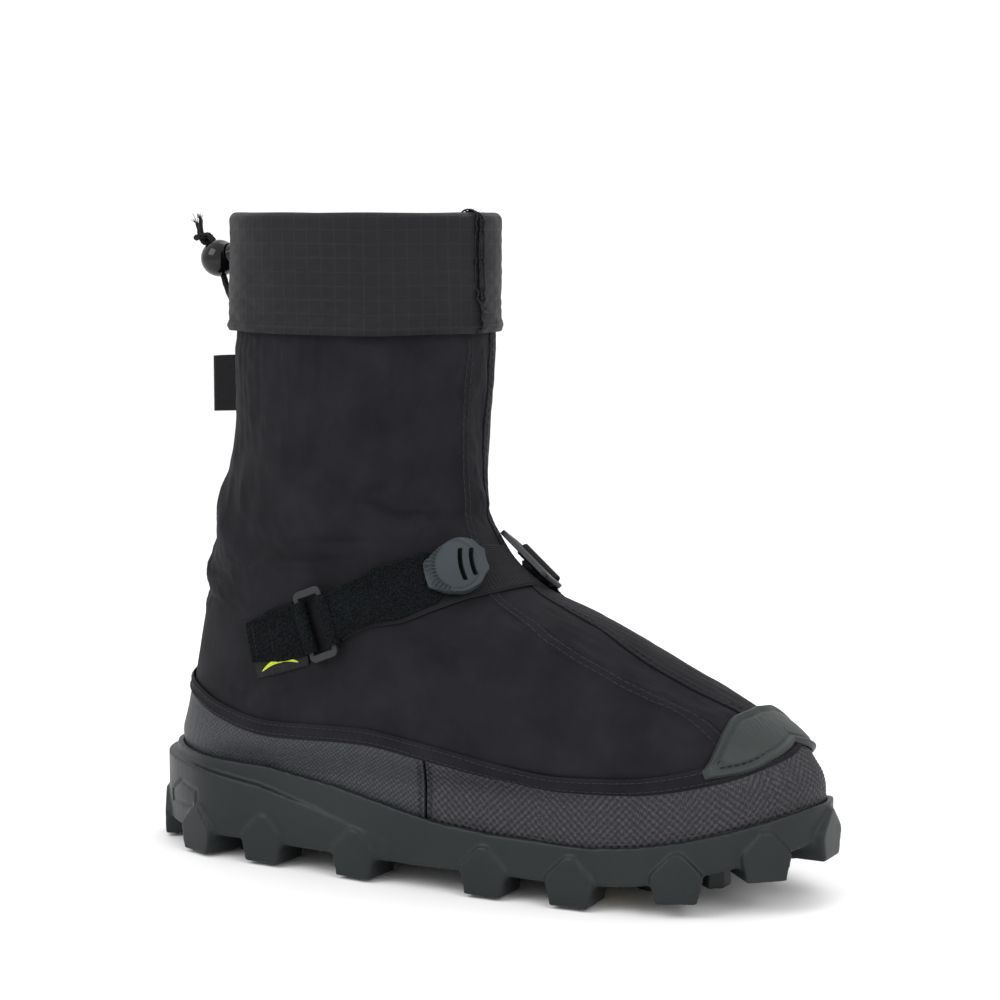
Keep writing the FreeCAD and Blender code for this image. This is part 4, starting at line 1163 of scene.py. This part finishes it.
def ribs(length, side):
    """Height of elastic webbing with ribs along it."""
    return 1.05 + 0.2 * np.abs(np.sin(math.pi * side / 1.25)) + 0.08 * np.sin(2 * math.pi * length / 1.6)


def eye_grids(place, offset, lift, relief):
    """Strap wrapped round a bar, in the bar's own directions."""
    foot, along, across, out = strap_frame(place)
    spot = foot + out * lift + along * offset
    half = (WEB_WIDTH - 1.4) / 2
    angle, side = np.meshgrid(np.radians(np.linspace(0, 360, 60)), np.linspace(-half, half, 50), indexing="ij")
    turned = np.cos(angle)[..., None] * along + np.sin(angle)[..., None] * out
    radii = (EYE_OUTER + relief(angle * EYE_OUTER, side) - 1.75, EYE_INNER + 0 * angle)
    return [spot + turned * radius[..., None] + side[..., None] * across for radius in radii]


def plain_relief(length, side):
    return 1.7 + 0 * side


def joined(name, pairs):
    """One mesh from several closed sheets."""
    work = bmesh.new()
    for outer, inner in pairs:
        part = shell(name, outer, inner)
        work.from_mesh(part.data)
        bpy.data.objects.remove(part)
    mesh = bpy.data.meshes.new(name)
    bmesh.ops.recalc_face_normals(work, faces=work.faces)
    work.to_mesh(mesh)
    work.free()
    return link(name, mesh)


def ladder(start, end, width, lift, inset):
    """Stitches along both edges of a band and across its ends."""
    runs = []
    for side in (-width / 2 + inset, width / 2 - inset):
        distance = np.linspace(start + 1.5, end - 1.5, 80)
        turn, z = across_strap(distance, np.full(80, side))
        runs += zigzag(lay_bare(turn, z, lift), skin_out(turn, z), 1.7, 1.5, 0.2)
    for distance in (start + 2.2, end - 2.2):
        side = np.linspace(-width / 2 + inset, width / 2 - inset, 40)
        turn, z = across_strap(np.full(40, distance), side)
        runs += stitches(turn, z, lift, 2.0, 0.8, 0.22, True)
    return runs


def straps():
    end = -BAR_PLACE - EYE_INNER - EYE_GAP
    anchor = ribbon_grids(end - 31, end, lambda share: 19.0 + 6.0 * ease(share * 1.6), steady(0.9), pile)
    eye = eye_grids(0.0, -BAR_PLACE, BAR_LIFT, pile)
    finish_piece(joined("anchor_strap_pile", [anchor, eye]), PILE, "pile", "boot", "anchor_strap")
    start = BAR_PLACE + EYE_INNER + 0.6
    back = ribbon_grids(start, start + RETURN_LENGTH,
                        lambda share: WEB_WIDTH - 5.0 * ease((share - 0.86) / 0.14), steady(2.4), pile, 0.0,
                        (220, 80))
    eye = eye_grids(0.0, BAR_PLACE, BAR_LIFT, pile)
    finish_piece(joined("strap_return_pile", [back, eye]), PILE, "pile", "strap", "strap_return")
    start = BAR_PLACE + EYE_OUTER + 2.4
    web = ribbon_grids(start, 100.0, steady(WEB_WIDTH), steady(0.6), ribs, -1.5, (360, 80))
    finish_piece(joined("instep_webbing_elastic", [web]), WEBBING, "webbing", "boot", "instep_webbing")
    start = BUCKLE_MIDDLE + BUCKLE_BAR + EYE_INNER + EYE_GAP
    inner = ribbon_grids(start, start + 31, steady(WEB_WIDTH), lambda share: 3.8 - 3.2 * ease(share * 2.2),
                         ribs)
    eye = eye_grids(BUCKLE_MIDDLE, BUCKLE_BAR, BUCKLE_LIFT, plain_relief)
    finish_piece(joined("medial_anchor_webbing", [inner, eye]), WEBBING, "webbing", "boot", "medial_anchor")
    strap_stitches(start)


def strap_stitches(medial_start):
    runs = ladder(BAR_PLACE + EYE_OUTER + 3, 62, WEB_WIDTH + 1.2, 2.0, 1.6)
    runs += ladder(medial_start + 12, medial_start + 30, WEB_WIDTH, 2.0, 2.6)
    finish_piece(tubes("strap_stitches", runs), THREAD, "webbing", "boot")
    runs = ladder(-38, -24, 17.0, 2.85, 1.8) + fuzz(-39.4, -9, 20.0, 2.7, 23, 500)
    finish_piece(tubes("anchor_fuzz", runs), THREAD, "pile", "boot")
    runs = fuzz(9.5, 60, WEB_WIDTH, 4.2, 29, 1100)
    finish_piece(tubes("return_fuzz", runs), THREAD, "pile", "strap")


def fuzz(start, end, width, lift, seed, count):
    """Loose loops and hairs standing off pile."""
    draw = np.random.default_rng(seed)
    distance = draw.uniform(start, end, count)
    side = draw.uniform(-1, 1, count)
    side = np.sign(side) * np.abs(side) ** 0.45 * width / 2
    turn, z = across_strap(distance, side)
    root = lay_bare(turn, z, lift - 0.7)
    out = skin_out(turn, z)
    share = np.linspace(0, 1, 5)[:, None]
    runs = []
    for k in range(count):
        lean = draw.normal(0, 0.7, 3)
        curl = draw.normal(0, 0.5, 3)
        runs.append((root[k] + out[k] * 1.1 * share + lean * share + curl * share ** 2, 0.075, 3))
    return runs


straps()


# Copies of CAD shapes, with the rounded edges of moulded pieces
def softened(name, node, voxel, rounds, change):
    """Copy of a CAD node's shape, remeshed finely and smoothed; change takes and returns heel coordinates."""
    piece = link(name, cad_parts[node].data.copy())
    remesh = piece.modifiers.new("remesh", "REMESH")
    remesh.mode = "VOXEL"
    remesh.voxel_size = voxel * MM
    smooth = piece.modifiers.new("smooth", "SMOOTH")
    smooth.factor = 0.5
    smooth.iterations = rounds
    mesh = bpy.data.meshes.new_from_object(piece.evaluated_get(bpy.context.evaluated_depsgraph_get()))
    piece.modifiers.clear()
    piece.data = mesh
    if change is not None:
        points = np.empty(len(mesh.vertices) * 3)
        mesh.vertices.foreach_get("co", points)
        points = change(points.reshape(-1, 3) / MM - TO_FRAME)
        mesh.vertices.foreach_set("co", framed(points).ravel())
    mesh.polygons.foreach_set("use_smooth", [True] * len(mesh.polygons))
    mesh.update()
    return piece


# Corners (x, z) of the panel at the heel
PLAQUE = ((17.0, 25.5), (29.0, 33.5), (44.0, 31.0), (44.0, 21.5), (18.0, 19.5))


def sole_relief(points):
    """Plain recessed panel with a raised middle on both sides of the heel."""
    x, z = points[:, 0], points[:, 2]
    corners = np.array(PLAQUE)
    edges = unit(np.roll(corners, -1, axis=0) - corners)
    inside = [(x - corner[0]) * edge[1] - (z - corner[1]) * edge[0] for corner, edge in zip(corners, edges)]
    depth = np.min(inside, axis=0)
    sunk = 0.9 * ease(depth / 0.9) - 0.5 * ease((depth - 1.8) / 0.8)
    wall = (np.abs(points[:, 1]) > 22) & (x < 60)
    points[:, 1] += np.where(wall, -np.sign(points[:, 1]) * sunk, 0.0)
    return points


def tab_relief(points):
    """Ribbed thumb edge and a raised rim on the grip."""
    middle, along, across, out = strap_frame(TAB_START + TAB_LENGTH / 2)
    local = points - middle
    a, b, c = local @ along, local @ across, local @ out
    radius = np.hypot(a / 13.0, b / 14.2)
    top = ease((c - 5.6) / 1.0)
    rim = 0.7 * np.exp(-((radius - 0.86) / 0.07) ** 2)
    thumb = ease((-a - 2.0) / 4.0) * ease((radius - 0.66) / 0.1)
    rib = 0.55 * np.sin(np.arctan2(b, a) * 40) * thumb
    dish = -0.5 * np.exp(-(radius / 0.5) ** 2)
    return points + out * ((rim + rib + dish) * top)[:, None]


# Piece, CAD node, voxel, rounds of smoothing, relief, material, slot, body
MOULDED = (("outsole_rubber", "outsole", 0.95, 4, sole_relief, RUBBER, "rubber", "boot"),
           ("stud_pins", "studs", 0.3, 3, None, STEEL, "steel", "boot"),
           ("sole_inlay_rubber", "sole_inlay", 0.4, 3, None, INLAY, "inlay", "boot"),
           ("midsole_foam", "midsole", 1.5, 4, None, FOAM, "foam", "boot"),
           ("insole_board_cloth", "insole_board", 0.9, 3, None, INNER, "board", "boot"),
           ("strap_ring_plastic", "strap_ring", 0.35, 3, None, PLASTIC, "plastic", "ring"),
           ("thumb_tab_grip", "thumb_tab", 0.32, 3, tab_relief, GRIP, "grip", "tab"),
           ("medial_buckle_plastic", "medial_buckle", 0.35, 3, None, PLASTIC, "plastic", "buckle"))
for name, node, voxel, rounds, relief, material, slot, body in MOULDED:
    finish_piece(softened(name, node, voxel, rounds, relief), material, slot, body, node)


def heel_loop():
    """Webbing folded into a flat loop behind the shaft."""
    gap, web, tip, root, middle_z, half_width = 2.4, 1.4, 25.5, 50.5, 219.5, 13.2
    centre = tip + gap + web
    middle = gap + web / 2
    path = [(x, middle) for x in np.linspace(root, centre, 40)] + arc((centre, 0), middle, 90, 270, 24)
    path = np.array(path + [(x, -middle) for x in np.linspace(centre, root, 40)])
    ahead = unit(np.gradient(path, axis=0))
    out = np.stack((-ahead[:, 1], ahead[:, 0]), -1)
    out *= np.sign((out * (path - (centre + 8, 0))).sum(1, keepdims=True))
    height = np.linspace(-half_width, half_width, 90)
    run = np.arange(len(path))[:, None] * 0.6
    rib = 0.12 * np.sin(2 * math.pi * (height[None] + run) / 1.5)
    rib += 0.12 * np.sin(2 * math.pi * height[None] / 1.1)
    grids = []
    for lift in (web / 2 + rib - 0.1, -web / 2 + 0 * rib):
        flat = path[:, None] + out[:, None] * lift[..., None]
        droop = middle_z + height[None] - 0.05 * (50 - flat[..., 0])
        grids.append(np.concatenate((flat, droop[..., None]), -1))
    finish_piece(joined("heel_loop_webbing", [grids]), WEBBING, "webbing", "boot", "heel_loop")


heel_loop()


def label():
    """Black satin tag with a plain bright arc, no lettering."""
    start = -BAR_PLACE - 33.0
    tag = ribbon_grids(start, start + 30, steady(15.0), steady(0.5), lambda length, side: 0.5 + 0 * side,
                       -9.5, (80, 40))
    finish_piece(joined("side_label_satin", [tag]), LABEL, "label", "boot", "side_label")
    runs = []
    for rise, thick in ((0.0, 0.42), (0.75, 0.42), (1.5, 0.34)):
        distance = np.linspace(start + 3.5, start + 24.5, 60)
        share = np.linspace(-1, 1, 60)
        side = -14.2 + 3.6 * (1 - share ** 2) - rise * (1 - np.abs(share)) ** 0.5
        turn, z = across_strap(distance, side)
        runs.append((lay_bare(turn, z, 1.05), thick * (1 - np.abs(share) ** 3) + 0.05, 6))
    finish_piece(tubes("side_label_arc", runs), LIME, "label", "boot")


label()
